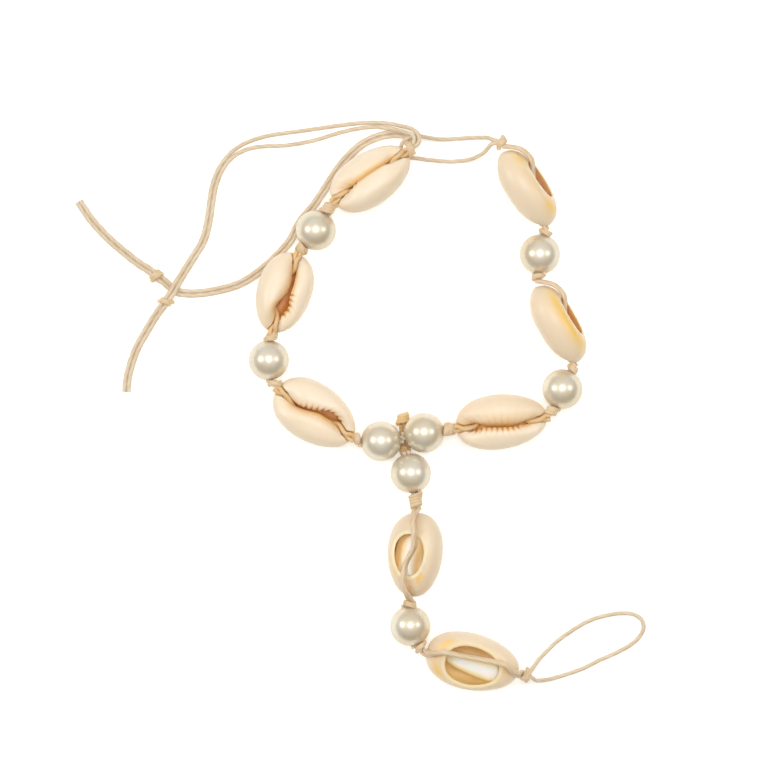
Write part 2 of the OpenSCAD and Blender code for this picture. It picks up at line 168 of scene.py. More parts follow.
# %% Lamps
LAMPS = [
    # name, place in metres, width in metres, watts
    ("disc_overhead", (0.0, 0.10, 0.88), 0.42, 2.6),
    ("lamp_left", (-0.66, 0.10, 0.60), 0.20, 1.9),
    ("lamp_right", (0.60, 0.10, 0.62), 0.12, 1.0),
]
for name, place, width, watts in LAMPS:
    lamp = bpy.data.objects.new(name, bpy.data.lights.new(name, "AREA"))
    lamp.data.shape = "DISK"
    lamp.data.size = width
    lamp.data.energy = watts
    lamp.location = place
    lamp.rotation_euler = (-Vector(place)).to_track_quat("-Z", "Y").to_euler()
    scene.collection.objects.link(lamp)
print("lamps:", ", ".join(name for name, *_ in LAMPS))

# %% [markdown]
# The room is a plain background, which beads and glaze mirror and which fills the shadows. It is
# brighter overhead and behind the thing than in front of it, so that they have something darker to
# mirror on their lower side. The view transform is Standard, which keeps white things white.

# %% Room
ROOM_WALL = linear("#968768")
ROOM_CEILING = linear("#F6F6F4")
ROOM_STRENGTH = 0.72
ROOM_LEAN = 0.38
CEILING_FROM_TO = (0.1, 0.9)
world = bpy.data.worlds.new("white_room")
world.use_nodes = True
world.node_tree.nodes.clear()
tree = world.node_tree
direction = add_node(tree, "ShaderNodeTexCoord").outputs["Generated"]
parts = add_node(tree, "ShaderNodeSeparateXYZ", [direction]).outputs
height = add_node(tree, "ShaderNodeMath", [parts["Y"], ROOM_LEAN, parts["Z"]], operation="MULTIPLY_ADD")
share = add_node(
    tree, "ShaderNodeMapRange", [height, *CEILING_FROM_TO, 0.0, 1.0], interpolation_type="SMOOTHSTEP"
)
light = add_node(
    tree, "ShaderNodeBackground", [coat_over(tree, ROOM_WALL, [(share, ROOM_CEILING)]), ROOM_STRENGTH]
)
add_node(tree, "ShaderNodeOutputWorld", [light])
scene.world = world
scene.view_settings.view_transform = "Standard"
print("room:", world.name)

# %% [markdown]
# The table is a bare white sheet, far larger than the picture. It glows a little, because the real one
# is overexposed in the photo.

# %% Table
TABLE_HALF = 3.0
TABLE_GLOW = 0.31
table_mesh = bpy.data.meshes.new("table")
corners = [(x * TABLE_HALF, y * TABLE_HALF, 0) for x, y in ((-1, -1), (1, -1), (1, 1), (-1, 1))]
table_mesh.from_pydata(corners, [], [(0, 1, 2, 3)])
table = bpy.data.objects.new("table", table_mesh)
scene.collection.objects.link(table)
white, _, _ = new_material(
    "white_laminate_table",
    Base_Color=linear("#F6F6F4"),
    Roughness=0.6,
    Emission_Color=(1, 1, 1, 1),
    Emission_Strength=TABLE_GLOW,
)
table_mesh.materials.append(white)
print("table:", 2 * TABLE_HALF, "m wide")

# %% [markdown]
# Cord comes first, because it ties everything else together. Its routes are listed as points and are
# the same round numbers that the model uses. A curve through those points has to pass each of them and
# must not swing out between a short step and a long one, so its speed follows the square root of each
# step. The same function later smooths the sections of the shells.

# %% Smooth lines
LINE_STEP = 0.3


def smooth(points, counts):
    """Points on a smooth curve through the given ones, counts[i] of them from one to the next."""
    points = np.asarray(points, float)
    steps = np.diff(points, axis=0)
    gaps = np.maximum(np.linalg.norm(steps, axis=-1, keepdims=True), 1e-6) ** 0.5
    slopes = steps / gaps
    inner = (slopes[:-1] * gaps[1:] + slopes[1:] * gaps[:-1]) / (gaps[:-1] + gaps[1:])
    tangents = np.concatenate([slopes[:1], inner, slopes[-1:]])
    made = []
    for i, count in enumerate(counts):
        for t in np.arange(count) / count:
            made.append(
                (1 + 2 * t) * (1 - t) ** 2 * points[i]
                + t * (1 - t) ** 2 * gaps[i] * tangents[i]
                + t * t * (3 - 2 * t) * points[i + 1]
                + t * t * (t - 1) * gaps[i] * tangents[i + 1]
            )
    return np.array(made + [points[-1]])


def smooth_line(route):
    """A smooth line along a route, with points about LINE_STEP apart."""
    steps = np.linalg.norm(np.diff(np.asarray(route, float)[:, :3], axis=0), axis=1)
    return smooth(route, np.maximum(1, np.ceil(steps / LINE_STEP)).astype(int))


print("a point every", LINE_STEP, "mm")

# %% [markdown]
# Nearly everywhere two strands run side by side. Both come from one route: moved sideways from it in
# plan, or turned round it where there is no room for them next to each other.

# %% Pairs of strands
CORD_D = 1.0
STRAND_PITCH = 1.1


def headings(line):
    """The direction of a line at each of its points."""
    ahead = np.vstack([line[1:], line[-1:]]) - np.vstack([line[:1], line[:-1]])
    return ahead / np.linalg.norm(ahead, axis=1, keepdims=True)


def beside(line, shift):
    """A line moved sideways in plan, square to its own heading."""
    line = np.asarray(line, float)
    ahead = headings(line)
    aside = np.stack([-ahead[:, 1], ahead[:, 0], 0 * ahead[:, 0]], axis=1)
    return line + shift * aside / np.linalg.norm(aside, axis=1, keepdims=True)


def pair(route, turns=None):
    """Two strands along a route, turned round each other by a share of a right angle at each point."""
    turns = np.zeros(len(route)) if turns is None else turns
    line = smooth_line(np.column_stack([np.asarray(route, float), turns]))
    middle, turned = line[:, :3], line[:, 3:] * math.pi / 2
    ahead = headings(middle)
    aside = np.cross((0, 0, 1), ahead)
    aside = aside / np.linalg.norm(aside, axis=1, keepdims=True)
    apart = np.cos(turned) * aside + np.sin(turned) * np.cross(ahead, aside)
    return [middle + side * STRAND_PITCH / 2 * apart for side in (-1, 1)]


print("strands", STRAND_PITCH, "mm apart")

# %% [markdown]
# The ties are the same two strands that run through the whole ring. Past the ring's last knot they
# part into two pairs, cross the closing loop, lie along the table and end bare, each pair held by one
# overhand knot. The toe loop leaves the last shell's knot and comes back to it.

# %% Routes of the free cords
TIE_1A_START = [
    [0.4, 67.5, 6.8], [0.7, 68.7, 6.8], [0.3, 70.0, 6.5], [-1.0, 71.2, 5.2],
    [-3.5, 72.1, 3.0], [-6.8, 72.9, 1.3], [-10.1, 73.2, 0.5], [-13.5, 73.1, 0.5],
    [-19.0, 72.5, 0.5], [-24.5, 71.7, 0.5], [-28.0, 71.2, 0.5], [-32.5, 70.6, 0.5],
    [-37.5, 69.8, 0.5], [-42.0, 68.4, 0.5], [-45.3, 66.6, 0.5],
]
TIE_1B_START = [
    [-0.6, 68.2, 6.8], [-0.6, 69.0, 6.8], [-1.1, 69.8, 6.4], [-2.3, 70.3, 5.1],
    [-4.3, 71.0, 3.0], [-7.0, 71.7, 1.3], [-10.2, 72.1, 0.5], [-15.5, 71.5, 0.5],
    [-20.0, 70.4, 0.5], [-24.5, 69.0, 0.5], [-29.0, 68.0, 0.5], [-33.5, 67.4, 0.5],
    [-38.5, 67.2, 0.5], [-42.0, 66.6, 0.5], [-45.0, 65.2, 0.5],
]
TIE_1_DOWN = [
    [-48.0, 64.0, 0.5], [-50.0, 60.8, 0.5], [-51.3, 57.0, 0.5], [-51.9, 53.5, 0.5],
    [-52.6, 48.7, 0.5], [-53.8, 44.0, 0.5], [-56.4, 39.6, 0.5], [-58.4, 36.4, 0.6],
    [-59.8, 34.0, 1.3], [-60.6, 32.6, 1.7], [-61.4, 31.2, 1.7], [-62.2, 30.0, 1.7],
    [-63.7, 27.8, 1.7], [-64.9, 26.2, 1.4], [-66.6, 23.7, 0.6], [-68.8, 20.0, 0.5],
    [-70.5, 16.9, 0.5], [-71.9, 13.1, 0.5], [-72.9, 9.1, 0.5], [-73.2, 5.7, 0.5],
]
TIE_2_MIDDLE = [
    [-0.1, 67.95, 4.9], [-0.7, 68.3, 3.8], [-1.3, 69.0, 2.6], [-2.3, 69.9, 1.6],
    [-4.2, 70.3, 0.8], [-7.0, 70.2, 0.5], [-10.2, 69.4, 0.5], [-13.6, 67.7, 0.5],
    [-16.8, 64.9, 0.5], [-19.3, 62.0, 0.5], [-21.7, 58.4, 0.5], [-23.8, 55.2, 0.5],
    [-26.0, 52.0, 0.5], [-28.6, 49.0, 0.5], [-30.1, 46.5, 0.5], [-31.4, 43.9, 0.5],
    [-33.4, 41.4, 0.5], [-36.6, 38.2, 0.5], [-40.5, 35.0, 0.5], [-44.2, 32.8, 0.5],
    [-48.6, 31.4, 0.5], [-53.6, 30.5, 0.5], [-57.8, 30.4, 0.5], [-60.4, 31.0, 0.5],
    [-61.9, 32.2, 0.8], [-63.2, 33.4, 1.5], [-64.2, 34.1, 1.7], [-66.1, 35.6, 1.7],
    [-67.4, 36.5, 1.3], [-69.2, 37.6, 0.6], [-71.6, 39.4, 0.5], [-76.8, 43.8, 0.5],
    [-81.3, 48.6, 0.5], [-84.6, 53.4, 0.5],
]
CLOSING_LOOP = [
    [19.2, 68.4, 6.8], [18.0, 68.95, 6.1], [16.0, 69.2, 4.2], [12.5, 69.2, 2.2],
    [9.0, 69.0, 1.5], [5.5, 68.9, 2.2], [2.2, 69.3, 4.1], [-0.6, 69.6, 5.1],
    [-2.8, 68.6, 4.5], [-3.8, 67.1, 3.2], [-3.4, 65.5, 1.6], [-1.8, 64.5, 0.7],
    [0.4, 64.2, 0.5], [3.4, 63.8, 0.5], [8.4, 63.4, 0.8], [13.2, 63.8, 2.4],
    [16.6, 65.2, 4.8], [17.9, 66.5, 6.2], [18.6, 67.3, 6.7],
]
TOE_LOOP = [
    [28.8, -63.5, 5.2], [29.6, -62.6, 4.2], [30.4, -61.6, 2.6], [32.2, -59.8, 0.9],
    [35.4, -56.8, 0.5], [39.3, -54.0, 0.5], [43.4, -51.7, 0.5], [47.9, -50.3, 0.5],
    [52.4, -49.8, 0.5], [55.0, -50.3, 0.5], [56.7, -51.8, 0.5], [57.0, -53.4, 0.5],
    [56.3, -55.2, 0.5], [54.2, -57.4, 0.5], [50.4, -59.6, 0.5], [45.9, -61.6, 0.5],
    [41.9, -63.6, 0.5], [37.4, -65.2, 0.6], [33.6, -66.2, 1.8], [30.8, -66.4, 4.0],
    [29.9, -66.3, 5.0], [29.1, -65.75, 5.5],
]
DROP_LINK = [
    [-3.3, -2.4, 1.5], [-3.2, -3.8, 1.1], [-3.3, -5.6, 1.0], [-3.3, -6.8, 1.3], [-3.2, -7.7, 1.9],
]
tie_2_pair = [beside(TIE_2_MIDDLE, side * STRAND_PITCH / 2) for side in (1, -1)]
FREE_CORDS = {
    "tie_1a": TIE_1A_START + TIE_1_DOWN,
    "tie_1b": TIE_1B_START + beside(TIE_1_DOWN, STRAND_PITCH).tolist(),
    "tie_2a": tie_2_pair[0],
    "tie_2b": tie_2_pair[1],
    "closing_loop": CLOSING_LOOP,
    "toe_loop": TOE_LOOP,
}
print("free cords:", ", ".join(FREE_CORDS))

# %% [markdown]
# Waxed cotton cord is three plies twisted slowly round one another and flooded with wax, which levels
# the grooves. To the eye it is a smooth warm beige with faint long lines, a dull sheen and fine fibres
# along each ply. The sweep below stores how deep a point lies in a groove, and the material darkens it
# there as painted shade, which draws the faint lines. The material also reads a share of painted golden
# light: the orange light that a cowrie's inside throws on the cord, and a warm light that lifts the
# knots and the shade between the beads, laid on as colour. The fibres are finer than the picture can
# show, so they are drawn twice as coarse as real ones.

# %% Material of the cord
CORD_CROWN = linear("#DAC5A7")
# painted shade: the darker colour laid into the grooves between the plies
CORD_GROOVE_SHADE = linear("#BFA27D")
CORD_PALE = linear("#E3D2B9")
# painted light: the golden glow of the cowries' orange insides, laid on the cord as colour
CORD_GOLD_LIGHT = linear("#E3B468")
GROOVE_SHADE_DARKNESS = 0.45
FIBRE_WIDTH = 0.2 * MM
BLOTCH_WIDTH = 3.85 * MM

cord_wax, tree, shader = new_material(
    "waxed_cotton_cord", Roughness=0.5, Sheen_Weight=0.15, Sheen_Roughness=0.5
)
# painted shade: the deeper a point lies in a groove, the darker its colour
groove = add_node(tree, "ShaderNodeAttribute", attribute_name="groove").outputs["Fac"]
groove_shade = add_node(tree, "ShaderNodeMath", [groove, 2.0], operation="POWER")
groove_shade = add_node(tree, "ShaderNodeMath", [groove_shade, GROOVE_SHADE_DARKNESS], operation="MULTIPLY")
blotches = patches(tree, BLOTCH_WIDTH, 3.0, 0.35, 0.7)
coats = [(blotches, CORD_PALE), (groove_shade, CORD_GROOVE_SHADE), ("gold", CORD_GOLD_LIGHT)]
tree.links.new(coat_over(tree, CORD_CROWN, coats), shader.inputs["Base Color"])
add_grain(tree, shader, FIBRE_WIDTH, 2.0, 0.3, 0.03 * MM)
print("cord material:", len(tree.nodes), "nodes")

# %% [markdown]
# Every tree gets its sizes through named inputs. It ends by making instances real and setting the
# material, so that what it hands over is a plain mesh.


# %% Helpers for geometry trees
def new_tree(name, sockets, has_geometry=True):
    """A geometry tree with named inputs: name, socket type, default value."""
    tree = bpy.data.node_groups.new(name, "GeometryNodeTree")
    if has_geometry:
        tree.interface.new_socket("Geometry", in_out="INPUT", socket_type="NodeSocketGeometry")
    for label, kind, value in sockets:
        socket = tree.interface.new_socket(label, in_out="INPUT", socket_type=kind)
        if value is not None:
            socket.default_value = value
    tree.interface.new_socket("Geometry", in_out="OUTPUT", socket_type="NodeSocketGeometry")
    return tree, add_node(tree, "NodeGroupInput").outputs


def close_tree(tree, geometry, material):
    """Ends a tree in Realize Instances and Set Material."""
    geometry = add_node(tree, "GeometryNodeRealizeInstances", [geometry])
    geometry = add_node(tree, "GeometryNodeSetMaterial", {"Geometry": geometry, "Material": material})
    add_node(tree, "NodeGroupOutput", [geometry])


print("trees have named inputs")

# %% [markdown]
# A rope is a small profile carried along a line while it turns. Geometry Nodes do just that: the line
# is resampled, tilted a full turn for each lay of the rope, and swept with a circle whose radius dips
# where two plies meet. One tree serves every cord, and the knots use it again as a group. The wax
# swells cord a little, so that two strands side by side touch.

# %% Geometry tree that lays up a cord
WAX_SWELL = 1.07
PLIES = 3
LAY = 9.0 * MM
GROOVE_DEPTH = 0.05
RING_GAP = 0.25 * MM
PROFILE_SIDES = 18

cord_tree, given = new_tree(
    "laid_cord",
    [
        ("Thickness", "NodeSocketFloat", CORD_D * WAX_SWELL * MM),
        ("Plies", "NodeSocketInt", PLIES),
        ("Lay", "NodeSocketFloat", LAY),
        ("Groove depth", "NodeSocketFloat", GROOVE_DEPTH),
        ("Ring gap", "NodeSocketFloat", RING_GAP),
        # the share of painted golden light
        ("Gold light", "NodeSocketFloat", 0.0),
        ("Material", "NodeSocketMaterial", None),
    ],
)
line = add_node(
    cord_tree,
    "GeometryNodeResampleCurve",
    {"Curve": given["Geometry"], "Length": given["Ring gap"]},
    mode="LENGTH",
)
run = add_node(cord_tree, "GeometryNodeSplineParameter").outputs["Length"]
lays = add_node(cord_tree, "ShaderNodeMath", [run, given["Lay"]], operation="DIVIDE")
tilt = add_node(cord_tree, "ShaderNodeMath", [lays, math.tau], operation="MULTIPLY")
line = add_node(cord_tree, "GeometryNodeSetCurveTilt", {"Curve": line, "Tilt": tilt})
radius = add_node(cord_tree, "ShaderNodeMath", [given["Thickness"], 0.5], operation="MULTIPLY")
circle = {"Resolution": PROFILE_SIDES, "Radius": radius}
profile = add_node(cord_tree, "GeometryNodeCurvePrimitiveCircle", circle, mode="RADIUS")
share = add_node(cord_tree, "GeometryNodeSplineParameter").outputs["Factor"]
turns = add_node(cord_tree, "ShaderNodeMath", [share, given["Plies"]], operation="MULTIPLY")
angle = add_node(cord_tree, "ShaderNodeMath", [turns, math.pi], operation="MULTIPLY")
crest = add_node(cord_tree, "ShaderNodeMath", [angle], operation="SINE")
crest = add_node(cord_tree, "ShaderNodeMath", [crest], operation="ABSOLUTE")
groove = add_node(cord_tree, "ShaderNodeMath", [1.0, crest], operation="SUBTRACT")
# the groove's depth, which the cord's material also turns into painted shade
profile = add_node(
    cord_tree,
    "GeometryNodeStoreNamedAttribute",
    {"Geometry": profile, "Name": "groove", "Value": groove},
    data_type="FLOAT",
)
dip = add_node(cord_tree, "ShaderNodeMath", [groove, given["Groove depth"]], operation="MULTIPLY")
dip = add_node(cord_tree, "ShaderNodeMath", [dip, -1.0], operation="MULTIPLY")
inwards = add_node(
    cord_tree,
    "ShaderNodeVectorMath",
    {0: add_node(cord_tree, "GeometryNodeInputPosition"), "Scale": dip},
    operation="SCALE",
)
profile = add_node(cord_tree, "GeometryNodeSetPosition", {"Geometry": profile, "Offset": inwards})
swept = add_node(
    cord_tree, "GeometryNodeCurveToMesh", {"Curve": line, "Profile Curve": profile, "Fill Caps": True}
)
# stores the share of painted golden light for the material
swept = add_node(
    cord_tree,
    "GeometryNodeStoreNamedAttribute",
    {"Geometry": swept, "Name": "gold", "Value": given["Gold light"]},
    data_type="FLOAT",
)
swept = add_node(cord_tree, "GeometryNodeSetShadeSmooth", {"Geometry": swept, "Shade Smooth": True})
close_tree(cord_tree, swept, given["Material"])
print("cord tree:", len(cord_tree.nodes), "nodes")

# %% [markdown]
# A modifier's inputs are set by the identifiers of their sockets, before the object is first looked
# at. The result is taken as a plain mesh, so that nothing live is left on the piece. All lines are in
# the model's own millimetres, and the model was moved to the middle of its frame when it was packed.

# %% Turn a tree's result into a piece
TO_MIDDLE = np.array([-0.25, -0.6, 0.0])


def apply_tree(source, tree, values):
    """The mesh that a geometry tree makes of an object, which is then removed."""
    scene.collection.objects.link(source)
    modifier = source.modifiers.new("tree", "NODES")
    modifier.node_group = tree
    for item in tree.interface.items_tree:
        if item.item_type == "SOCKET" and item.in_out == "INPUT" and item.name in values:
            modifier[item.identifier] = values[item.name]
    graph = bpy.context.evaluated_depsgraph_get()
    mesh = bpy.data.meshes.new_from_object(source.evaluated_get(graph), depsgraph=graph)
    source.modifiers.remove(modifier)
    bpy.data.objects.remove(source)
    return mesh


def make_piece(name, mesh, nodes):
    """A piece that stands for CAD nodes. It rides on the frame, and lies flat where it meets the table."""
    points = np.array([v.co for v in mesh.vertices])
    points[:, 2] = np.maximum(points[:, 2], 0)
    mesh.vertices.foreach_set("co", points.astype(np.float32).ravel())
    mesh.update()
    piece = bpy.data.objects.new(name, mesh)
    mesh.name = name
    scene.collection.objects.link(piece)
    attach(piece, "root")
    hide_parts(*nodes)
    return piece


def lay_cord(name, lines, nodes, gold=0.0):
    """A piece of cord along one or more lines, in the model's millimetres, with its share of painted
    golden light.
    """
    curve = bpy.data.curves.new(name, "CURVE")
    curve.dimensions = "3D"
    for line in lines:
        placed_line = (line + TO_MIDDLE) * MM
        spline = curve.splines.new("POLY")
        spline.points.add(len(line) - 1)
        spline.points.foreach_set("co", np.column_stack([placed_line, np.ones(len(line))]).ravel())
    mesh = apply_tree(bpy.data.objects.new(name, curve), cord_tree, {"Gold light": gold, "Material": cord_wax})
    return make_piece(name, mesh, nodes)


print("pieces are made by name")

# %% [markdown]
# A free cord comes out of its knot, so its line starts in the knot's middle, and a loop's line also
# ends there. The frame says where each knot is.

# %% Free cords
# painted golden light on the drop link and the middle knots, which lie in the beads' shade
GOLD_LIGHT_IN_MIDDLE = 0.6
HELD_BY = {
    # the knots that the first and the last end come out of
    "tie_1a": ("knot_ties", None),
    "tie_1b": ("knot_ties", None),
    "tie_2a": ("knot_ties", None),
    "tie_2b": ("knot_ties", None),
    "closing_loop": ("knot_closing_loop", "knot_closing_loop"),
    "toe_loop": ("knot_toe_loop", "knot_toe_loop"),
}


def node_points(name):
    """The points of a CAD node, in the model's own millimetres before it was moved to the middle."""
    return np.array([v.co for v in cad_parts[name].data.vertices]) / MM - TO_MIDDLE


def free_line(name):
    """A free cord's line, with each held end carried on into the middle of its knot."""
    first, last = [[node_points(knot).mean(0)] if knot else [] for knot in HELD_BY[name]]
    return smooth_line(first + list(FREE_CORDS[name]) + last)


cords = {name: lay_cord(f"{name}_cord", [free_line(name)], [name]) for name in FREE_CORDS}
lay_cord("drop_link_cords", pair(DROP_LINK), ["drop_link"], GOLD_LIGHT_IN_MIDDLE)
print("cords laid:", len(cords) + 1)

# %% [markdown]
# An overhand knot pulled tight in doubled cord shows a few turns side by side, leaning with the way the
# cord was drawn, and one or two strands that cross over them to lock the knot. Spirals make both: short
# steep ones for the turns and a long flat one for the crossing strands, round a core that closes what
# one would otherwise see through. The knot's own place and size are read from the frame, so each one
# sits between its bead and its shell.

# %% Geometry tree that ties a knot
knot_tree, given = new_tree(
    "overhand_knot",
    [
        ("Length", "NodeSocketFloat", 2.0 * MM),
        ("Thickness", "NodeSocketFloat", 3.0 * MM),
        ("Cord thickness", "NodeSocketFloat", CORD_D * MM),
        ("Turns", "NodeSocketFloat", 2.0),
        ("Lean", "NodeSocketFloat", 0.3),
        ("Crossing at", "NodeSocketFloat", 0.0),
        ("Place", "NodeSocketVector", (0, 0, 0)),
        ("Turned", "NodeSocketVector", (0, 0, 0)),
        # the share of painted golden light on the knot
        ("Gold light", "NodeSocketFloat", 0.25),
        ("Material", "NodeSocketMaterial", None),
    ],
    has_geometry=False,
)
# how much of a turn a crossing strand makes, how far it lies outside the turns in cords, and how much
# of the knot's length the core has
CROSSING_SHARE = 0.46
CROSSING_RISE = 0.4
CORE_SHARE = 0.94
KNOT_RING_GAP = 0.16 * MM
cord_size = given["Cord thickness"]
radius = add_node(knot_tree, "ShaderNodeMath", [given["Thickness"], cord_size], operation="SUBTRACT")
radius = add_node(knot_tree, "ShaderNodeMath", [radius, 0.5], operation="MULTIPLY")
height = add_node(knot_tree, "ShaderNodeMath", [given["Length"], cord_size], operation="SUBTRACT")
height = add_node(knot_tree, "ShaderNodeMath", [height, 0.0], operation="MAXIMUM")
half_height = add_node(knot_tree, "ShaderNodeMath", [height, -0.5], operation="MULTIPLY")
down = add_node(knot_tree, "ShaderNodeCombineXYZ", {"Z": half_height})
wide = add_node(knot_tree, "ShaderNodeMath", [cord_size, CROSSING_RISE, radius], operation="MULTIPLY_ADD")
turn = add_node(knot_tree, "ShaderNodeCombineXYZ", {"Z": given["Crossing at"]})
both = add_node(knot_tree, "GeometryNodeJoinGeometry")
# points a turn, turns, radius, turned to
SPIRALS = ((28, given["Turns"], radius, None), (48, CROSSING_SHARE, wide, turn))
for points, rotations, reach, turned in SPIRALS:
    form = {"Start Radius": reach, "End Radius": reach, "Height": height}
    form.update({"Resolution": points, "Rotations": rotations})
    spiral = add_node(knot_tree, "GeometryNodeCurveSpiral", form)
    placing = {"Geometry": spiral, "Translation": down, "Rotation": turned}
    spiral = add_node(knot_tree, "GeometryNodeTransform", placing)
    knot_tree.links.new(spiral.outputs[0], both.inputs[0])
place = add_node(knot_tree, "ShaderNodeSeparateXYZ", [add_node(knot_tree, "GeometryNodeInputPosition")])
leaning = add_node(knot_tree, "ShaderNodeMath", [place.outputs["Y"], given["Lean"]], operation="MULTIPLY")
offset = add_node(knot_tree, "ShaderNodeCombineXYZ", {"Z": leaning})
leant = add_node(knot_tree, "GeometryNodeSetPosition", {"Geometry": both, "Offset": offset})
tied = add_node(knot_tree, "GeometryNodeGroup", node_tree=cord_tree)
tied.inputs["Ring gap"].default_value = KNOT_RING_GAP
knot_tree.links.new(leant.outputs[0], tied.inputs["Geometry"])
knot_tree.links.new(cord_size, tied.inputs["Thickness"])
for label in ("Gold light", "Material"):
    knot_tree.links.new(given[label], tied.inputs[label])
core_length = add_node(
    knot_tree, "ShaderNodeMath", [given["Length"], 0.5 * CORE_SHARE], operation="MULTIPLY"
)
core_size = add_node(knot_tree, "ShaderNodeCombineXYZ", [radius, radius, core_length])
core = add_node(knot_tree, "GeometryNodeMeshUVSphere", {"Segments": 24, "Rings": 12, "Radius": 1.0})
core = add_node(knot_tree, "GeometryNodeTransform", {"Geometry": core.outputs["Mesh"], "Scale": core_size})
core = add_node(knot_tree, "GeometryNodeSetShadeSmooth", {"Geometry": core, "Shade Smooth": True})
whole = add_node(knot_tree, "GeometryNodeJoinGeometry")
knot_tree.links.new(tied.outputs[0], whole.inputs[0])
knot_tree.links.new(core.outputs[0], whole.inputs[0])
placing = {"Geometry": whole, "Translation": given["Place"], "Rotation": given["Turned"]}
whole = add_node(knot_tree, "GeometryNodeTransform", placing)
close_tree(knot_tree, whole, given["Material"])
print("knot tree:", len(knot_tree.nodes), "nodes")

# %% [markdown]
# The shells come next on paper, though not yet as meshes, because the strands and knots are placed by
# them. Each row says where a shell's middle lies, where its long axis heads, how far it has rolled
# about that axis (0 shows the slit, 180 the ground back) and how long and wide it is.

# %% Places of the shells
SHELL_ROWS = [
    # x, y, heading, roll, length, width, slit's bow and swing, rim's share of length and of width,
    # strands' run aside under the slit, dip into the hole, by the slit at back and front tip, turned,
    # aside over the hole in its back and in its front half
    (-11.4, 59.1, 34, -14, 22.0, 13.2, 0.2, 0.0, 0.62, 0.70, -1.9, 0.0, True, True, 1, 0, 0),
    (-33.0, 30.4, -108, -14, 20.4, 13.6, 0.6, 0.3, 0.62, 0.70, -1.9, 0.0, True, True, 1, 0, 0),
    (-25.4, 0.3, -33, 0, 22.2, 14.6, 0.7, -1.1, 0.62, 0.70, -1.9, 0.0, True, True, 1, 0, 0),
    (21.2, -1.8, 7, 16, 22.8, 13.8, -0.5, 0.3, 0.62, 0.70, 1.9, 0.0, True, True, 1, 0, 0),
    (35.0, 22.5, -60, 105, 21.5, 13.0, 0.4, 0.0, 0.54, 0.64, 0.0, 1.6, False, True, 0, 0, 0),
    (27.3, 56.3, -57, 108, 21.6, 13.4, 0.4, 0.0, 0.54, 0.64, 0.0, 1.6, False, True, 0, 0, 0),
    (-0.2, -34.9, -94, 203, 21.0, 14.0, 0.4, 0.0, 0.56, 0.66, 0.0, 0.4, False, False, 1, -1.6, 0.4),
    (14.0, -61.5, -13, 192, 23.5, 14.2, 0.4, 0.0, 0.64, 0.79, 0.0, 0.0, False, False, 1, -2.3, -2.7),
]
FIELDS = (
    "x y heading roll length width bow swing rim_length rim_width aside dip slit_back slit_front "
    "turned over_back over_front"
).split()
SHELLS = [dict(zip(FIELDS, row)) for row in SHELL_ROWS]
for number, shell in enumerate(SHELLS, 1):
    shell["name"] = f"shell_{number}"
    shell["slit_shown"] = shell["slit_back"] and shell["slit_front"]
# heights: of the middle, of the widest line in the middle and at the tips, and of the tips
SHELL_HEIGHT = 8.6
WAIST = 4.0
TIP_WAIST = 4.4
TIP_TOP = 6.1
# depth of the notch at each tip; walls: at the flanks, at the ground rim and at the slit's lips
NOTCH = 1.2
WALL = 1.1
RIM_WALL = 0.75
LIP = 1.6
# the model's plain slit: half its width, and its share of the shell's length
SLIT_HALF = 0.8
SLIT_REACH = 0.8
# the axis that a shell rolls about, and how its outline narrows and rounds
ROLL_AXIS = 4.4
FRONT_TAPER = 0.1
OUTLINE_POWER = 0.88
print("shells:", len(SHELLS))

# %% [markdown]
# A cowrie is drawn as a ring of sections round its middle. Each section starts at the slit's lip,
# runs out over the base to the widest line, in to the ground rim, and back up inside to the lip. The
# points of a section come from the same short tables as the model's, and the smooth curve through them
# gives the round glazed form that the faceted solid stands for.

# %% Sections of a cowrie
BASE_PROFILE = [(0, 0.88), (0.1, 0.99), (0.42, 1), (0.74, 0.84), (0.93, 0.48), (1, 0)]
FLANK_PROFILE = [(0.16, 0.52), (0.52, 0.18), (1, 0)]
CAVITY_PROFILE = [(0, 0, 0), (0.17, 0.6, 0.25), (0.36, 0.92, 0.55), (0.66, 0.66, 0.88)]
ROOF_FROM = 0.66
ROOF_SHARE = 0.3


def mix(a, b, share):
    """From a at share 0 to b at share 1."""
    return a + (b - a) * share


def ease(value, start, end):
    """A smooth step from 0 at start to 1 at end."""
    t = np.clip((value - start) / (end - start), 0, 1)
    return t * t * (3 - 2 * t)


def outline(turn, half_l, half_w):
    """The shell's outline in plan at each turn round it."""
    side = np.where(turn < math.pi, 1, -1)
    taper = 1 - FRONT_TAPER * np.cos(turn)
    y = half_w * side * np.abs(np.sin(turn)) ** OUTLINE_POWER * taper
    return np.stack([half_l * np.cos(turn), y], axis=-1)


def slit_share(turn):
    """How far along the slit a section's lip is, from 1 at the front tip to -1 and back."""
    return np.where(turn < math.pi, 1 - 2 * turn / math.pi, 2 * turn / math.pi - 3)


def slit_middle(share, shell):
    """How far aside the slit's middle line lies at a place along it."""
    bow = np.sin(math.pi / 2 * (share + 1))
    return shell["bow"] * bow + shell["swing"] * np.sin(math.pi * (share + 1))


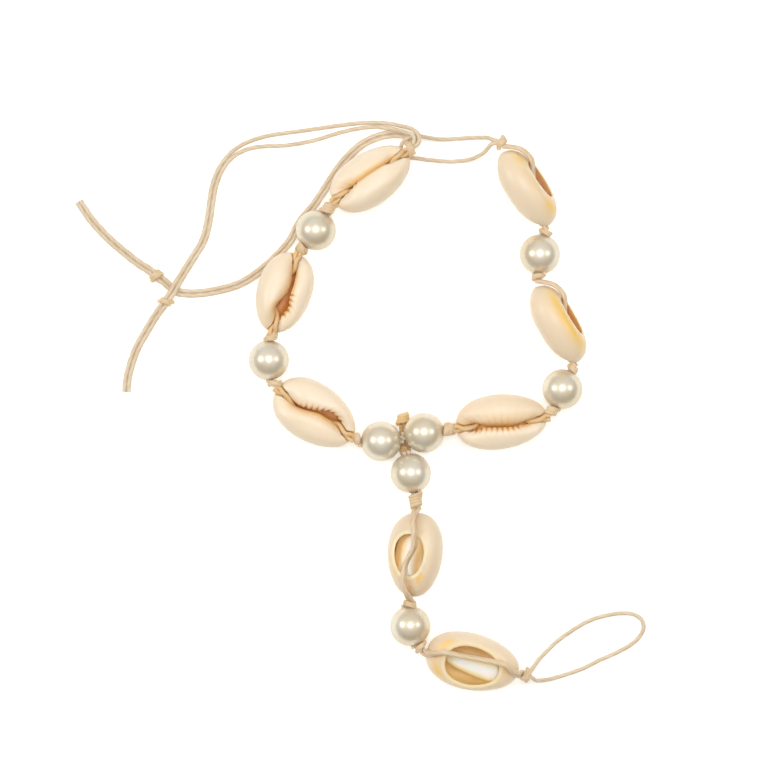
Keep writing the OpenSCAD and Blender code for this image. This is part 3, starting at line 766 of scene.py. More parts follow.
def section_points(turn, shell, opening):
    """The outer and the inner points of the sections, in the shell's own frame."""
    half_l, half_w = shell["length"] / 2, shell["width"] / 2
    side = np.where(turn < math.pi, 1, -1)
    across = np.abs(np.sin(turn))[:, None]
    tipness = np.cos(turn)[:, None] ** 4
    share = slit_share(turn)
    lip = np.stack([share * SLIT_REACH * half_l, slit_middle(share, shell) + side * opening], axis=-1)
    edge = outline(turn, half_l, half_w)
    rim = outline(turn, half_l * shell["rim_length"], half_w * shell["rim_width"])
    rim_in = outline(turn, half_l * shell["rim_length"] - RIM_WALL, half_w * shell["rim_width"] - RIM_WALL)
    edge_in = outline(turn, half_l - WALL, half_w - WALL)
    waist = mix(WAIST, TIP_WAIST, tipness)
    top = mix(SHELL_HEIGHT, TIP_TOP, tipness)
    roof = top - mix(WALL, LIP, across)
    outer = [np.hstack([mix(lip, edge, p[0]), mix(waist, top, p[1])]) for p in BASE_PROFILE]
    outer += [np.hstack([mix(edge, rim, p[0]), waist * p[1]]) for p in FLANK_PROFILE]
    inner = [
        np.hstack([mix(rim_in, edge_in, mix(p[0], p[1], across)), roof * p[2]]) for p in CAVITY_PROFILE
    ]
    inner += [
        np.hstack([mix(lip, mix(rim_in, edge_in, ROOF_FROM), ROOF_SHARE), roof]),
        np.hstack([lip, roof]),
    ]
    return np.array(outer), np.array(inner)


print("points given for a section:", len(BASE_PROFILE) + len(FLANK_PROFILE) + len(CAVITY_PROFILE) + 2)

# %% [markdown]
# A shell is drawn with its slit up and its long axis along x. Laid down, it rolls about its axis, turns
# to its heading and rests on the lowest point that the model's coarse sections have.

# %% Lay the shells down
MODEL_STEPS = 40
MODEL_TURNS = np.arange(MODEL_STEPS) * math.tau / MODEL_STEPS
for shell in SHELLS:
    outer, inner = section_points(MODEL_TURNS, shell, SLIT_HALF)
    points = np.concatenate([*outer, *inner])
    roll = math.radians(shell["roll"])
    heights = points[:, 1] * math.sin(roll) + (points[:, 2] - ROLL_AXIS) * math.cos(roll)
    shell["axis_height"] = -heights.min()


def placed(points, shell):
    """Points of a shell's own frame, in the anklet's millimetres."""
    points = np.atleast_2d(np.asarray(points, float))
    roll, heading = math.radians(shell["roll"]), math.radians(shell["heading"])
    y, z = points[:, 1], points[:, 2] - ROLL_AXIS
    y, z = y * math.cos(roll) - z * math.sin(roll), y * math.sin(roll) + z * math.cos(roll)
    return np.stack(
        [
            shell["x"] + points[:, 0] * math.cos(heading) - y * math.sin(heading),
            shell["y"] + points[:, 0] * math.sin(heading) + y * math.cos(heading),
            shell["axis_height"] + z,
        ],
        axis=1,
    )


print("axis heights:", [round(float(shell["axis_height"]), 2) for shell in SHELLS])

# %% [markdown]
# Two strands run through every shell and bead. Where the slit faces up they dive into its canal at
# one tip and rise out of it at the other, one above the other, because the canal is as narrow as one
# cord. Where the back faces up they lie over it and cross the ground hole. Each strand goes a little
# way into the knot at either end, because knot and strand are the same cord.

# %% Strands through the shells
SLIT_SIDE_HALF = [
    # share of the way to the tip, height, share of the run aside, turn of the two strands
    (1.03, 5.6, 0, 0), (0.97, 5.6, 0, 0.1), (0.89, 5.9, 0, 0.55), (0.81, 6.15, 0, 1),
    (0.7, 5.8, 0, 1), (0.57, 4.7, 0.1, 1), (0.3, 3.4, 1, 1),
]
BACK_SIDE_HALF = [
    # share of the way from the hole's rim to the tip, height, share of the dip, turn, share aside
    (1.2, 3.2, 0, 0, 0), (0.98, 1.75, 0, 0.2, 0.03), (0.6, -0.05, 0, 0.6, 0.45), (0.03, -0.85, 0, 1, 1),
    (-0.3, -0.65, 0.1, 1, 1), (-0.75, -0.65, 1, 1, 1),
]
STACK_RISE = 0.6
INTO_KNOT = 0.45
# painted golden light on the strands: strong in a slit, faint over a ground hole
GOLD_LIGHT_IN_SLIT = 0.6
GOLD_LIGHT_OVER_HOLE = 0.15


def by_slit(shell, side):
    """Whether the strands leave the shell's tip through its slit."""
    return shell["slit_front" if side == 1 else "slit_back"]


def route_point(row, side, shell):
    """A row of the tables above as a point of the strands' route, with their turn there."""
    half_l = shell["length"] / 2
    turned = row[3] * shell["turned"]
    if not by_slit(shell, side):
        height = row[1] + row[2] * shell["dip"] - turned * STACK_RISE
        over = row[4] * shell["over_front" if side == 1 else "over_back"]
        return [side * half_l * mix(shell["rim_length"], 1, row[0]), over, height, turned]
    share = side * row[0] / SLIT_REACH
    drift = float(slit_middle(share, shell)) if abs(share) < 1 else 0
    return [side * row[0] * half_l, drift + row[2] * shell["aside"], row[1], turned]


def half_route(shell, side):
    """One half of the strands' route, from the tip inwards."""
    rows = SLIT_SIDE_HALF if by_slit(shell, side) else BACK_SIDE_HALF
    return [route_point(row, side, shell) for row in rows]


def shell_end(shell, side):
    """Where the strands come out of a shell."""
    return placed(half_route(shell, side)[0][:3], shell)[0]


def longer(line, extra):
    """A line with both its ends carried on straight."""
    ahead = headings(line)
    return np.vstack([line[0] - extra * ahead[0], line, line[-1] + extra * ahead[-1]])


for number, shell in enumerate(SHELLS, 1):
    route = np.array(half_route(shell, -1) + half_route(shell, 1)[::-1])
    lines = [placed(longer(line, INTO_KNOT), shell) for line in pair(route[:, :3], route[:, 3])]
    gold = GOLD_LIGHT_IN_SLIT if shell["slit_shown"] else GOLD_LIGHT_OVER_HOLE
    lay_cord(f"strands_in_cowrie_{number}", lines, [f"strands_{shell['name']}"], gold)
print("strands laid through", len(SHELLS), "shells")

# %% [markdown]
# In a bead the strands are straight and side by side. The bead's bore points from one neighbour to the
# other, as taut cord turns it.

# %% Strands through the beads
BEAD_D = 10.0
BEAD_SEAT = 0.2
BEADS = [
    # x, y, neighbour before, neighbour after; a neighbour is a shell's row and side, or a point
    (-25.1, 46.0, (0, -1), (1, -1)),
    (-36.8, 13.6, (1, 1), (2, -1)),
    (-8.8, -6.6, (2, 1), (1.9, -4.5, 5)),
    (1.9, -4.5, (-8.8, -6.6, 5), (3, -1)),
    (-1.4, -14.6, (-3.0, -8.6, 5), (6, -1)),
    (36.4, 6.4, (3, 1), (4, 1)),
    (30.8, 40.0, (4, -1), (5, 1)),
    (-1.5, -52.7, (6, 1), (7, -1)),
]


def neighbour(entry):
    """Where the strands that come to a bead come from."""
    return np.array(entry, float) if len(entry) == 3 else shell_end(SHELLS[entry[0]], entry[1])


for number, (x, y, before, after) in enumerate(BEADS, 1):
    bore = (neighbour(after) - neighbour(before)) * (1, 1, 0)
    bore = bore / np.linalg.norm(bore)
    reach = BEAD_D / 2 + BEAD_SEAT + INTO_KNOT
    middle = np.array([x, y, BEAD_D / 2])
    ends = [middle - reach * bore, middle, middle + reach * bore]
    lay_cord(f"strands_in_bead_{number}", pair(ends), [f"strands_bead_{number}"])
print("strands laid through", len(BEADS), "beads")

# %% [markdown]
# A knot's direction is that of the cord it sits on: towards a bead's neighbour, along a shell's axis, or
# along the cord where it lies free.

# %% Directions of the knots
LINK_KNOTS = [
    # a bead's row, and which of its neighbours the knot lies towards: 2 before, 3 after
    (0, 2), (0, 3), (1, 2), (1, 3), (2, 2), (3, 3), (5, 2), (5, 3), (6, 2), (6, 3), (4, 3), (7, 2), (7, 3),
]
END_KNOTS = {"knot_ties": (0, 1), "knot_closing_loop": (5, -1), "knot_toe_loop": (7, 1)}
MIDDLE_KNOTS = {
    "knot_middle_back": ([-3.3, -2.1, 1.6], [-3.3, 0.1, 1.6]),
    "knot_middle_front": ([-3.2, -8.1, 2.1], [-2.8, -9.6, 2.6]),
}
TIE_KNOTS = {"tie_knot_1": -124, "tie_knot_2": 141}

ways = {}
for number, (row, which) in enumerate(LINK_KNOTS, 1):
    x, y = BEADS[row][:2]
    ways[f"knot_{number}"] = neighbour(BEADS[row][which]) - (x, y, BEAD_D / 2)
for name, (row, side) in END_KNOTS.items():
    heading = math.radians(SHELLS[row]["heading"])
    ways[name] = side * np.array([math.cos(heading), math.sin(heading), 0])
for name, (start, end) in MIDDLE_KNOTS.items():
    ways[name] = np.array(end) - np.array(start)
for name, heading in TIE_KNOTS.items():
    ways[name] = np.array([math.cos(math.radians(heading)), math.sin(math.radians(heading)), 0])
print("knots:", len(ways))

# %% [markdown]
# A knot's length and thickness are those of its node, made longer where it has to meet its shell and its
# bead. The turns lean one way or the other, and the crossing strands lie on the upper side where they
# show, at an angle that differs from knot to knot as it does in handwork.

# %% Tie the knots
# how much thicker than its node a knot is, and how much longer towards its shell and its bead
PROUD = 0.35
REACH_OVER_SHELL = 0.45
REACH_TO_BEAD = 0.4
LEAN = 0.3
TURN_GAP = 1.0
LEAST_TURNS = 1.2
# painted golden light on the knots between beads and shells
GOLD_LIGHT_IN_KNOT = 0.25
CROSSING_SHIFTS = (-0.2, 0.35, 0.35)


def node_span(name, way):
    """The middle, length and thickness of a round node whose axis has a known direction."""
    points = node_points(name) + TO_MIDDLE
    way = way / np.linalg.norm(way)
    aside = np.cross((0, 0, 1), way)
    aside = aside / np.linalg.norm(aside)
    axes = np.array([way, aside, np.cross(way, aside)])
    low, high = (points @ axes.T).min(0), (points @ axes.T).max(0)
    return (low + high) / 2 @ axes, *(high - low)[:2], axes


for number, (name, way) in enumerate(ways.items()):
    middle, length, thickness, axes = node_span(name, way)
    if name in END_KNOTS:
        middle, length = middle - axes[0] * REACH_OVER_SHELL / 2, length + REACH_OVER_SHELL
    elif name not in TIE_KNOTS:
        middle = middle + axes[0] * (REACH_OVER_SHELL - REACH_TO_BEAD) / 2
        length = length + REACH_OVER_SHELL + REACH_TO_BEAD
    turned = Matrix(np.array([-axes[2], axes[1], axes[0]]).T.tolist()).to_euler()
    values = {
        "Length": float(length) * MM,
        "Thickness": float(thickness + (0 if name in TIE_KNOTS else PROUD)) * MM,
        "Turns": max(LEAST_TURNS, float(length - CORD_D) / TURN_GAP + 1),
        "Lean": LEAN * (1 if number % 2 else -1),
        "Crossing at": math.pi * (1 - CROSSING_SHARE) + CROSSING_SHIFTS[number % 3],
        "Gold light": GOLD_LIGHT_IN_MIDDLE if name in MIDDLE_KNOTS else GOLD_LIGHT_IN_KNOT,
        "Place": (middle * MM).tolist(),
        "Turned": list(turned),
        "Material": cord_wax,
    }
    blank = bpy.data.objects.new(name, bpy.data.meshes.new(name))
    make_piece(f"{name}_tied", apply_tree(blank, knot_tree, values), [name])

# %% [markdown]
# Each tie and the toe loop can be laid another way, so the real length of each is worked out and
# printed. The line that it is swept along is also the path that its length is measured on.

FREE_ENDS = {
    # the far end, and the knot that goes with the cord
    "tie_1a": ("bare", ["tie_knot_1"]),
    "tie_1b": ("bare", []),
    "tie_2a": ("bare", ["tie_knot_2"]),
    "tie_2b": ("bare", []),
    "toe_loop": ("object", []),
}
for name, (far_end, its_knots) in FREE_ENDS.items():
    path = (free_line(name) + TO_MIDDLE) * MM
    length = float(np.linalg.norm(np.diff(path, axis=0), axis=1).sum())
    print(name, round(length / MM, 1), "mm from its knot")

# %% [markdown]
# The glaze of a cowrie is porcelain-like enamel that the living animal polished: cream on the base, a
# golden ring on the back that the grinding has mostly cut away, and orange-gold inside. Light goes a
# little way in. Over that, shade is painted in as colour: a greyer cream on the flanks, tan where a
# lip rolls into the slit, in the notches and between the ridges, orange in the gaps between the teeth,
# a deeper gold down in the cavity, and a deeper orange where the cavity lies under a slit. The mesh
# carries where each point lies on the shell, and the material reads that, so the colours follow lip,
# rim and cavity whichever way a shell lies.

# %% Material of the cowries
BASE_CREAM = linear("#F2E2CC")
# painted shade on the flanks, and also the colour of the soft random clouds
FLANK_SHADE_AND_CLOUD_CREAM = linear("#E8D6BC")
# painted shade where a lip rolls into the slit, in the tips' notches and between the ridges
LIP_SHADE_TAN = linear("#EDB966")
# painted shade in the gaps between the teeth
TOOTH_GAP_SHADE_ORANGE = linear("#CE8F44")
INSIDE_GOLD = linear("#FFF0CE")
# painted shade deep in the cavity, and also the colour of its random streaks
INSIDE_DEEP_SHADE_AND_STREAKS = linear("#FFE0A2")
# the cavity's orange, partly the shell's own colour and partly painted shade
CAVITY_ORANGE_AND_SHADE = linear("#E8962C")
RIM_PALE = linear("#F9DFB4")
RING_YELLOW = linear("#F0C971")
COLUMELLA_WHITE = linear("#FFFBF4")
CLOUD_WIDTH = 5.26 * MM
STREAK_WIDTH = 2.38 * MM
GROWTH_WIDTH = 1.11 * MM

glaze, tree, shader = new_material(
    "cowrie_enamel",
    Roughness=0.42,
    IOR=1.5,
    Coat_Weight=0.15,
    Coat_Roughness=0.2,
    Subsurface_Weight=0.7,
    Subsurface_Radius=(1.0, 0.8, 0.5),
    Subsurface_Scale=1.6 * MM,
)
clouds = patches(tree, CLOUD_WIDTH, 4.0, 0.3, 0.75, most=0.35)
streaks = patches(tree, STREAK_WIDTH, 2.0, 0.35, 0.65, most=0.5)
# the cavity's gold, with painted shade where it lies deep
hollow = coat_over(tree, INSIDE_GOLD, [("deep", INSIDE_DEEP_SHADE_AND_STREAKS), (streaks, INSIDE_DEEP_SHADE_AND_STREAKS)])
coats = [
    # painted shade on the flanks
    ("flank", FLANK_SHADE_AND_CLOUD_CREAM),
    (clouds, FLANK_SHADE_AND_CLOUD_CREAM),
    # painted shade where a lip rolls into the slit and in the notches
    ("lip_shade_tan", LIP_SHADE_TAN),
    # painted shade between the ridges
    ("ridge_gap_shade", LIP_SHADE_TAN),
    ("gold_ring", RING_YELLOW),
    ("rim", RIM_PALE),
    ("inside", hollow),
    # the cavity's orange, partly painted shade
    ("orange", CAVITY_ORANGE_AND_SHADE),
    # painted shade in the gaps between the teeth
    ("tooth_gap_shade", TOOTH_GAP_SHADE_ORANGE),
    ("columella", COLUMELLA_WHITE),
]
tree.links.new(coat_over(tree, BASE_CREAM, coats), shader.inputs["Base Color"])
add_grain(tree, shader, GROWTH_WIDTH, 3.0, 0.12, 0.05 * MM)
print("enamel:", len(coats), "coats")

# %% [markdown]
# One lip of a cowrie is a crisp toothed edge and the other rolls smoothly into the slit and on into
# the columella, the white pillar inside. Teeth are ribs that follow a surface, so Geometry Nodes raise
# them: the tree reads how far along the slit and how far from the lip each point is, and cuts a row of
# notches into the crisp lip and faint ridges over the rolled one. It works in the shell's own frame,
# before the shell is laid down, and it stores each gap's depth, which the colour turns into painted
# shade in the gaps.

# %% Geometry tree of the teeth
teeth_tree, given = new_tree(
    "cowrie_teeth",
    [
        ("Tooth pitch", "NodeSocketFloat", 1.3 * MM),
        ("Tooth roundness", "NodeSocketFloat", 0.45),
        ("Notch depth", "NodeSocketFloat", 0.55 * MM),
        ("Notch reach", "NodeSocketFloat", 0.6 * MM),
        ("Ridge height", "NodeSocketFloat", 0.12 * MM),
        ("Ridge reach", "NodeSocketFloat", 2.2 * MM),
        ("Material", "NodeSocketMaterial", None),
    ],
)
SUNK_SHARE = 0.6
stored = {
    name: add_node(
        teeth_tree, "GeometryNodeInputNamedAttribute", {"Name": name}, data_type="FLOAT"
    ).outputs["Attribute"]
    for name in ("along_slit", "from_lip", "side", "toothed", "ridged")
}


def fade(reach):
    """Falls from 1 at the lip to nothing a few reaches away."""
    far = add_node(teeth_tree, "ShaderNodeMath", [stored["from_lip"], reach], operation="DIVIDE")
    far = add_node(teeth_tree, "ShaderNodeMath", [far, -1.0], operation="MULTIPLY")
    return add_node(teeth_tree, "ShaderNodeMath", [far], operation="EXPONENT")


pitch = given["Tooth pitch"]
phase = add_node(teeth_tree, "ShaderNodeMath", [stored["along_slit"], pitch], operation="DIVIDE")
within = add_node(teeth_tree, "ShaderNodeMath", [phase], operation="FRACT")
within = add_node(teeth_tree, "ShaderNodeMath", [within, 2.0, -1.0], operation="MULTIPLY_ADD")
within = add_node(teeth_tree, "ShaderNodeMath", [within, within], operation="MULTIPLY")
within = add_node(teeth_tree, "ShaderNodeMath", [1.0, within], operation="SUBTRACT")
tooth = add_node(teeth_tree, "ShaderNodeMath", [within, given["Tooth roundness"]], operation="POWER")
gap = add_node(teeth_tree, "ShaderNodeMath", [1.0, tooth], operation="SUBTRACT")
notch = add_node(teeth_tree, "ShaderNodeMath", [gap, stored["toothed"]], operation="MULTIPLY")
notch = add_node(teeth_tree, "ShaderNodeMath", [notch, fade(given["Notch reach"])], operation="MULTIPLY")
cut = add_node(teeth_tree, "ShaderNodeMath", [notch, given["Notch depth"]], operation="MULTIPLY")
back = add_node(teeth_tree, "ShaderNodeMath", [cut, stored["side"]], operation="MULTIPLY")
sunk = add_node(teeth_tree, "ShaderNodeMath", [cut, -SUNK_SHARE], operation="MULTIPLY")
ridge = add_node(teeth_tree, "ShaderNodeMath", [gap, stored["ridged"]], operation="MULTIPLY")
ridge = add_node(teeth_tree, "ShaderNodeMath", [ridge, fade(given["Ridge reach"])], operation="MULTIPLY")
depth = add_node(teeth_tree, "ShaderNodeMath", [given["Ridge height"], -1.0], operation="MULTIPLY")
raised = add_node(teeth_tree, "ShaderNodeMath", [ridge, depth, sunk], operation="MULTIPLY_ADD")
offset = add_node(teeth_tree, "ShaderNodeCombineXYZ", {"Y": back, "Z": raised})
moved = {"Geometry": given["Geometry"], "Offset": offset}
toothed = add_node(teeth_tree, "GeometryNodeSetPosition", moved)
# each gap's depth, which the material turns into painted shade
for label, value in (("tooth_gap_shade", notch), ("ridge_gap_shade", ridge)):
    toothed = add_node(
        teeth_tree,
        "GeometryNodeStoreNamedAttribute",
        {"Geometry": toothed, "Name": label, "Value": value},
        data_type="FLOAT",
    )
toothed = add_node(teeth_tree, "GeometryNodeSetShadeSmooth", {"Geometry": toothed, "Shade Smooth": True})
close_tree(teeth_tree, toothed, given["Material"])
print("teeth tree:", len(teeth_tree.nodes), "nodes")

# %% [markdown]
# What the photo's shells differ in, apart from their places: how far the slit gapes and where, how
# strongly each end is toothed, and where the golden ring has survived the grinding. The pillar inside
# is the inner whorl. Through a slit it shows as an orange floor, its orange laid on as painted shade,
# and through a ground hole as a golden one with a white crest, widest in the seventh shell. It also
# hides the table below.

# %% Looks of the single shells
SLIT_UP = dict(gape=(0.0, 0.0, 0.3), marks=[(90, 70, 0.7), (270, 70, 0.7)], band=(0.62, 0.2))
SLIT_DOWN = dict(
    slit=(0.12, 0.12, 0.12), gape=(0.0, 0.0, 0.3), rolled=-1, drop=0.6, ridges=1, tan=1, teeth=(-0.8, 0.8)
)
LOOKS = [
    # slit: half widths in the middle, at the back and at the front; gape: extra half width, where, reach;
    # rolled: which lip; drop: how deep it rolls in; ridges: how strong they are; tan: how far the lip's
    # painted shade of tan reaches; teeth: from where to where; orange: how orange the cavity is, against
    # gold, partly painted shade; marks of the golden ring: turn, half width, strength;
    # band: where the ring lies on the flank, and its half width; pillar: aside, half widths at back
    # and front, height, how white its crest is
    dict(
        SLIT_UP, slit=(0.12, 0.5, 0.52), rolled=1, drop=0.3, ridges=0.8, tan=0.7, teeth=(-0.92, -0.3),
        orange=0, pillar=(1.5, 1.9, 2.2, 1.9, 0),
    ),
    dict(
        SLIT_UP, slit=(0.5, 0.62, 0.56), rolled=-1, drop=1.0, ridges=0.15, tan=1.1, teeth=(-0.15, 0.85),
        gape=(1.0, 0.42, 0.27), orange=0.2, pillar=(1.5, 1.9, 2.4, 1.9, 0),
    ),
    dict(
        SLIT_UP, slit=(0.42, 0.56, 0.75), rolled=-1, drop=0.8, ridges=0.25, tan=0.8, teeth=(-0.5, 0.85),
        gape=(0.6, 0.4, 0.25), orange=0.2, pillar=(0.5, 1.8, 2.2, 1.9, 0),
    ),
    dict(
        SLIT_UP, slit=(0.22, 0.95, 0.56), rolled=1, drop=1.1, ridges=1, tan=1.9, teeth=(-0.95, 0.55),
        orange=0, pillar=(-1.7, 2.1, 2.1, 4.4, 0),
    ),
    dict(
        SLIT_DOWN, orange=0.5, marks=[(90, 80, 1.0), (270, 40, 0.5)], band=(0.68, 0.34),
        pillar=(0, 0.9, 1.6, 1.9, 0.1),
    ),
    dict(
        SLIT_DOWN, orange=0.4, marks=[(28, 24, 0.9), (152, 20, 0.8), (90, 60, 0.25)], band=(0.66, 0.3),
        pillar=(0, 0.9, 1.6, 1.9, 0.1),
    ),
    dict(
        SLIT_DOWN, orange=0.25, marks=[(322, 13, 1.0), (60, 40, 0.15)], band=(0.82, 0.14),
        pillar=(0.5, 3.6, 4.4, 2.6, 1),
    ),
    dict(
        SLIT_DOWN, orange=0, marks=[(213, 20, 0.8), (155, 18, 0.8)], band=(0.72, 0.18),
        pillar=(0.2, 1.5, 2.9, 2.2, 1),
    ),
]
for shell, look in zip(SHELLS, LOOKS):
    shell.update(look)
print("marks on", sum(len(shell["marks"]) for shell in SHELLS), "places")

# %% [markdown]
# The mesh has a ring for each step along a section. How much of the flanks' painted shade, the cavity's
# colour or the ground rim's colour a point has depends on its ring alone, so those shares are worked
# out once for all shells.

# %% Shares that every section repeats
FINE_TURNS = 360
BASE_STEPS = (9, 7, 6, 6, 5)
FLANK_STEPS = (5, 6, 6)
CAVITY_STEPS = (5, 5, 5, 5, 6)
RIM_STEPS = (0.1, 0.35, 0.65, 0.9)
LIP_STEPS = (0.25, 0.5, 0.75)
BASE_RINGS = sum(BASE_STEPS)
OUTER_RINGS = BASE_RINGS + sum(FLANK_STEPS) + 1
INNER_RINGS = sum(CAVITY_STEPS) + 1
FIRST_INNER = OUTER_RINGS + len(RIM_STEPS)
ALL_RINGS = FIRST_INNER + INNER_RINGS + len(LIP_STEPS)
# where the flanks' painted shade sets in, in shares of the base's rings, and where the cavity's deeper
# painted shade does, from a ring inside the rim to a share of the way round to the lip
FLANK_SHADE_FROM_TO = (0.55, 1.1)
DEEP_SHADE_FROM = 2
DEEP_SHADE_TO = 0.6
RIM_SHARES = (0, 0.7, 1, 1, 1, 1, 0.5)

ring = np.arange(ALL_RINGS)
outside = ring < OUTER_RINGS
flank_place = np.clip((ring - BASE_RINGS) / sum(FLANK_STEPS), 0, 2)
# painted shade that grows down the flanks
flank_shade_share = outside * ease(ring / BASE_RINGS, *FLANK_SHADE_FROM_TO)
rim_share = np.zeros(ALL_RINGS)
rim_share[OUTER_RINGS - 2 : FIRST_INNER + 1] = RIM_SHARES
inside_share = 1.0 * (ring >= FIRST_INNER)
inside_share[-len(LIP_STEPS) :] = np.linspace(1, 0.35, len(LIP_STEPS))
# painted shade deeper in the cavity, and under the lip
deep_shade_share = (ring >= FIRST_INNER) * ease(ring - FIRST_INNER, DEEP_SHADE_FROM, INNER_RINGS * DEEP_SHADE_TO)
deep_shade_share[-len(LIP_STEPS) :] = np.linspace(0.9, 0.5, len(LIP_STEPS))
print("rings:", ALL_RINGS)

# %% [markdown]
# Three forms change on the way round a shell: how wide the slit is, how deep the notch at each tip is
# cut for the cord, and where the golden ring is left.

# %% Forms of slit, notch and ring
SLIT_END = 0.9
SLIT_WIDENS = (0.45, 0.75)
NOTCH_BEGINS = (0.7, 0.8)
NOTCH_WIDENS = (0.8, 0.97)
NOTCH_HALF = (0.5, 1.15)
NOTCH_EDGE = 0.45


def slit_opening(share, shell):
    """Half of the slit's width at a place along it."""
    middle, back, front = shell["slit"]
    gape, gape_at, gape_reach = shell["gape"]
    width = mix(middle, np.where(share < 0, back, front), ease(np.abs(share), *SLIT_WIDENS))
    width = width + gape * np.exp(-(((share - gape_at) / gape_reach) ** 2))
    end = np.clip((np.abs(share) - SLIT_END) / (1 - SLIT_END), 0, 1)
    return width * np.sqrt(1 - end**2)


def notch_share(plan, half_l):
    """How deep the notch at each tip is cut, as a share, at places in plan."""
    along, across = np.abs(plan[..., 0]) / half_l, np.abs(plan[..., 1])
    half = mix(*NOTCH_HALF, ease(along, *NOTCH_WIDENS))
    return ease(along, *NOTCH_BEGINS) * (1 - ease(across, half, half + NOTCH_EDGE))


def ring_marks(turn, marks):
    """How much of the golden ring is left at each turn round the shell."""
    left = np.zeros_like(turn)
    for at, half_width, strength in marks:
        away = (np.degrees(turn) - at + 180) % 360 - 180
        left = np.maximum(left, strength * np.exp(-((away / half_width) ** 4)))
    return left


print("forms are shares from 0 to 1")

# %% [markdown]
# The sections of a shell differ only in their turn round it. One lip rolls down into the slit, with the
# roof of the cavity under it, and the other stays up. Each ends in an edge that bulges a little. The
# numbers that the colours and the teeth need are stored with the points.

# %% Loft a cowrie
LIP_BULGE = 0.15
LIP_NEAR = 5.0
ROLL_REACH = 1.3
TOOTHED_DROP = 0.3
TOOTHED_SHADE_TAN = 0.35
FOLD_FROM = 0.6
FOLD_DROP = 1.0
FOLD_REACH = 1.4
FAR_FROM_LIP = 9.0
LIPS_OPEN = (-0.9, -0.55)
# the lip's painted shade of tan: how much is left at the tips, and how it fills the notches
SHADE_TAN_AT_TIPS = 0.75
NOTCH_SHADE_TAN = (0.1, 0.8)
TEETH_FADE = 0.15


def loft_cowrie(shell):
    """The points, faces and stored numbers of a cowrie's shell, in its own frame."""
    turn = np.arange(FINE_TURNS) * math.tau / FINE_TURNS
    share = slit_share(turn)
    side = np.where(turn < math.pi, 1.0, -1.0)
    half_l = shell["length"] / 2
    outer, inner = section_points(turn, shell, slit_opening(share, shell))
    outer, inner = smooth(outer, BASE_STEPS + FLANK_STEPS), smooth(inner, CAVITY_STEPS)
    above = np.clip((outer[..., 2] - TIP_WAIST) / (TIP_TOP - TIP_WAIST), 0, 1)
    trough = notch_share(outer[..., :2], half_l) * above
    outer[..., 2] -= NOTCH * trough
    inner[..., 2] -= NOTCH * np.clip(inner[..., 2] / TIP_WAIST, 0, 1) * notch_share(inner[..., :2], half_l)

    lip = outer[0, :, :2]
    far_out = np.linalg.norm(outer[:, :, :2] - lip, axis=-1)
    far_in = np.linalg.norm(inner[:, :, :2] - lip, axis=-1)
    on_rolled = side == shell["rolled"]
    open_share = ease(-np.abs(share), *LIPS_OPEN)
    drop = open_share * np.where(on_rolled, shell["drop"], TOOTHED_DROP)
    outer[:, :, 2] -= drop * np.exp(-((far_out / ROLL_REACH) ** 2)) * (far_out < LIP_NEAR)
    fold = open_share * on_rolled * (np.linspace(0, 1, INNER_RINGS)[:, None] > FOLD_FROM)
    inner[:, :, 2] -= fold * FOLD_DROP * np.exp(-((far_in / FOLD_REACH) ** 2))
    rim = [mix(outer[-1], inner[0], t) for t in RIM_STEPS]
    nose = [mix(inner[-1], outer[0], t) for t in LIP_STEPS]
    for t, points in zip(LIP_STEPS, nose):
        points[:, 1] -= side * open_share * LIP_BULGE * math.sin(math.pi * t)
    rings = np.concatenate([outer, rim, inner, nose]).transpose(1, 0, 2)

    from_lip = np.zeros((ALL_RINGS, FINE_TURNS))
    from_lip[:OUTER_RINGS] = far_out
    from_lip[OUTER_RINGS:FIRST_INNER] = FAR_FROM_LIP
    from_lip[FIRST_INNER : FIRST_INNER + INNER_RINGS] = far_in
    # painted shade: tan near the lip, short on the toothed lip, and in each tip's notch
    tan = np.exp(-from_lip / np.where(on_rolled, shell["tan"], TOOTHED_SHADE_TAN))
    tan = tan * mix(SHADE_TAN_AT_TIPS, 1, open_share)
    tan[:OUTER_RINGS] = np.maximum(tan[:OUTER_RINGS], ease(trough, *NOTCH_SHADE_TAN))
    first, last = shell["teeth"]
    teeth = ease(share, first, first + TEETH_FADE) * ease(-share, -last, -last + TEETH_FADE)
    band_at, band_reach = shell["band"]
    ring_band = np.exp(-(((flank_place - band_at) / band_reach) ** 2))
    numbers = {
        "from_lip": from_lip.T * MM,
        "along_slit": (share * SLIT_REACH * half_l * MM)[:, None],
        "side": side[:, None],
        "toothed": (teeth * ~on_rolled)[:, None] * (outside | shell["slit_shown"]),
        "ridged": shell["ridges"] * (teeth * on_rolled)[:, None] * outside,
        # painted shade on the flanks
        "flank": flank_shade_share,
        "inside": inside_share,
        # painted shade deep in the cavity
        "deep": deep_shade_share,
        "rim": rim_share,
        "gold_ring": ring_marks(turn, shell["marks"])[:, None] * ring_band,
        # painted shade near the lip and in the notches
        "lip_shade_tan": tan.T * outside,
        "columella": 0.0,
        # the cavity's orange, partly the shell's own and partly painted shade
        "orange": shell["orange"] * inside_share,
    }
    size = (FINE_TURNS, ALL_RINGS)
    numbers = {label: np.broadcast_to(values, size).ravel() for label, values in numbers.items()}
    index = np.arange(FINE_TURNS * ALL_RINGS).reshape(size)
    ahead = np.roll(index, -1, 0)
    faces = np.stack([index, ahead, np.roll(ahead, -1, 1), np.roll(index, -1, 1)], axis=-1)
    return rings.reshape(-1, 3), faces.reshape(-1, 4), numbers


print("rings lofted round", FINE_TURNS, "turns")

# %% [markdown]
# The pillar is a spindle, narrow at the back tip and wide at the front one. Only a strip of it shows
# through a slit or a ground hole, so a plain round form is enough. Its crest is whiter than its flanks,
# and fades out towards the back.

# %% Loft the pillar inside
PILLAR_STEPS = 36
PILLAR_SIDES = 20
PILLAR_HALF_DEPTHS = (0.55, 0.8)
PILLAR_SHARE = 0.6
PILLAR_SLOPE = 0.1
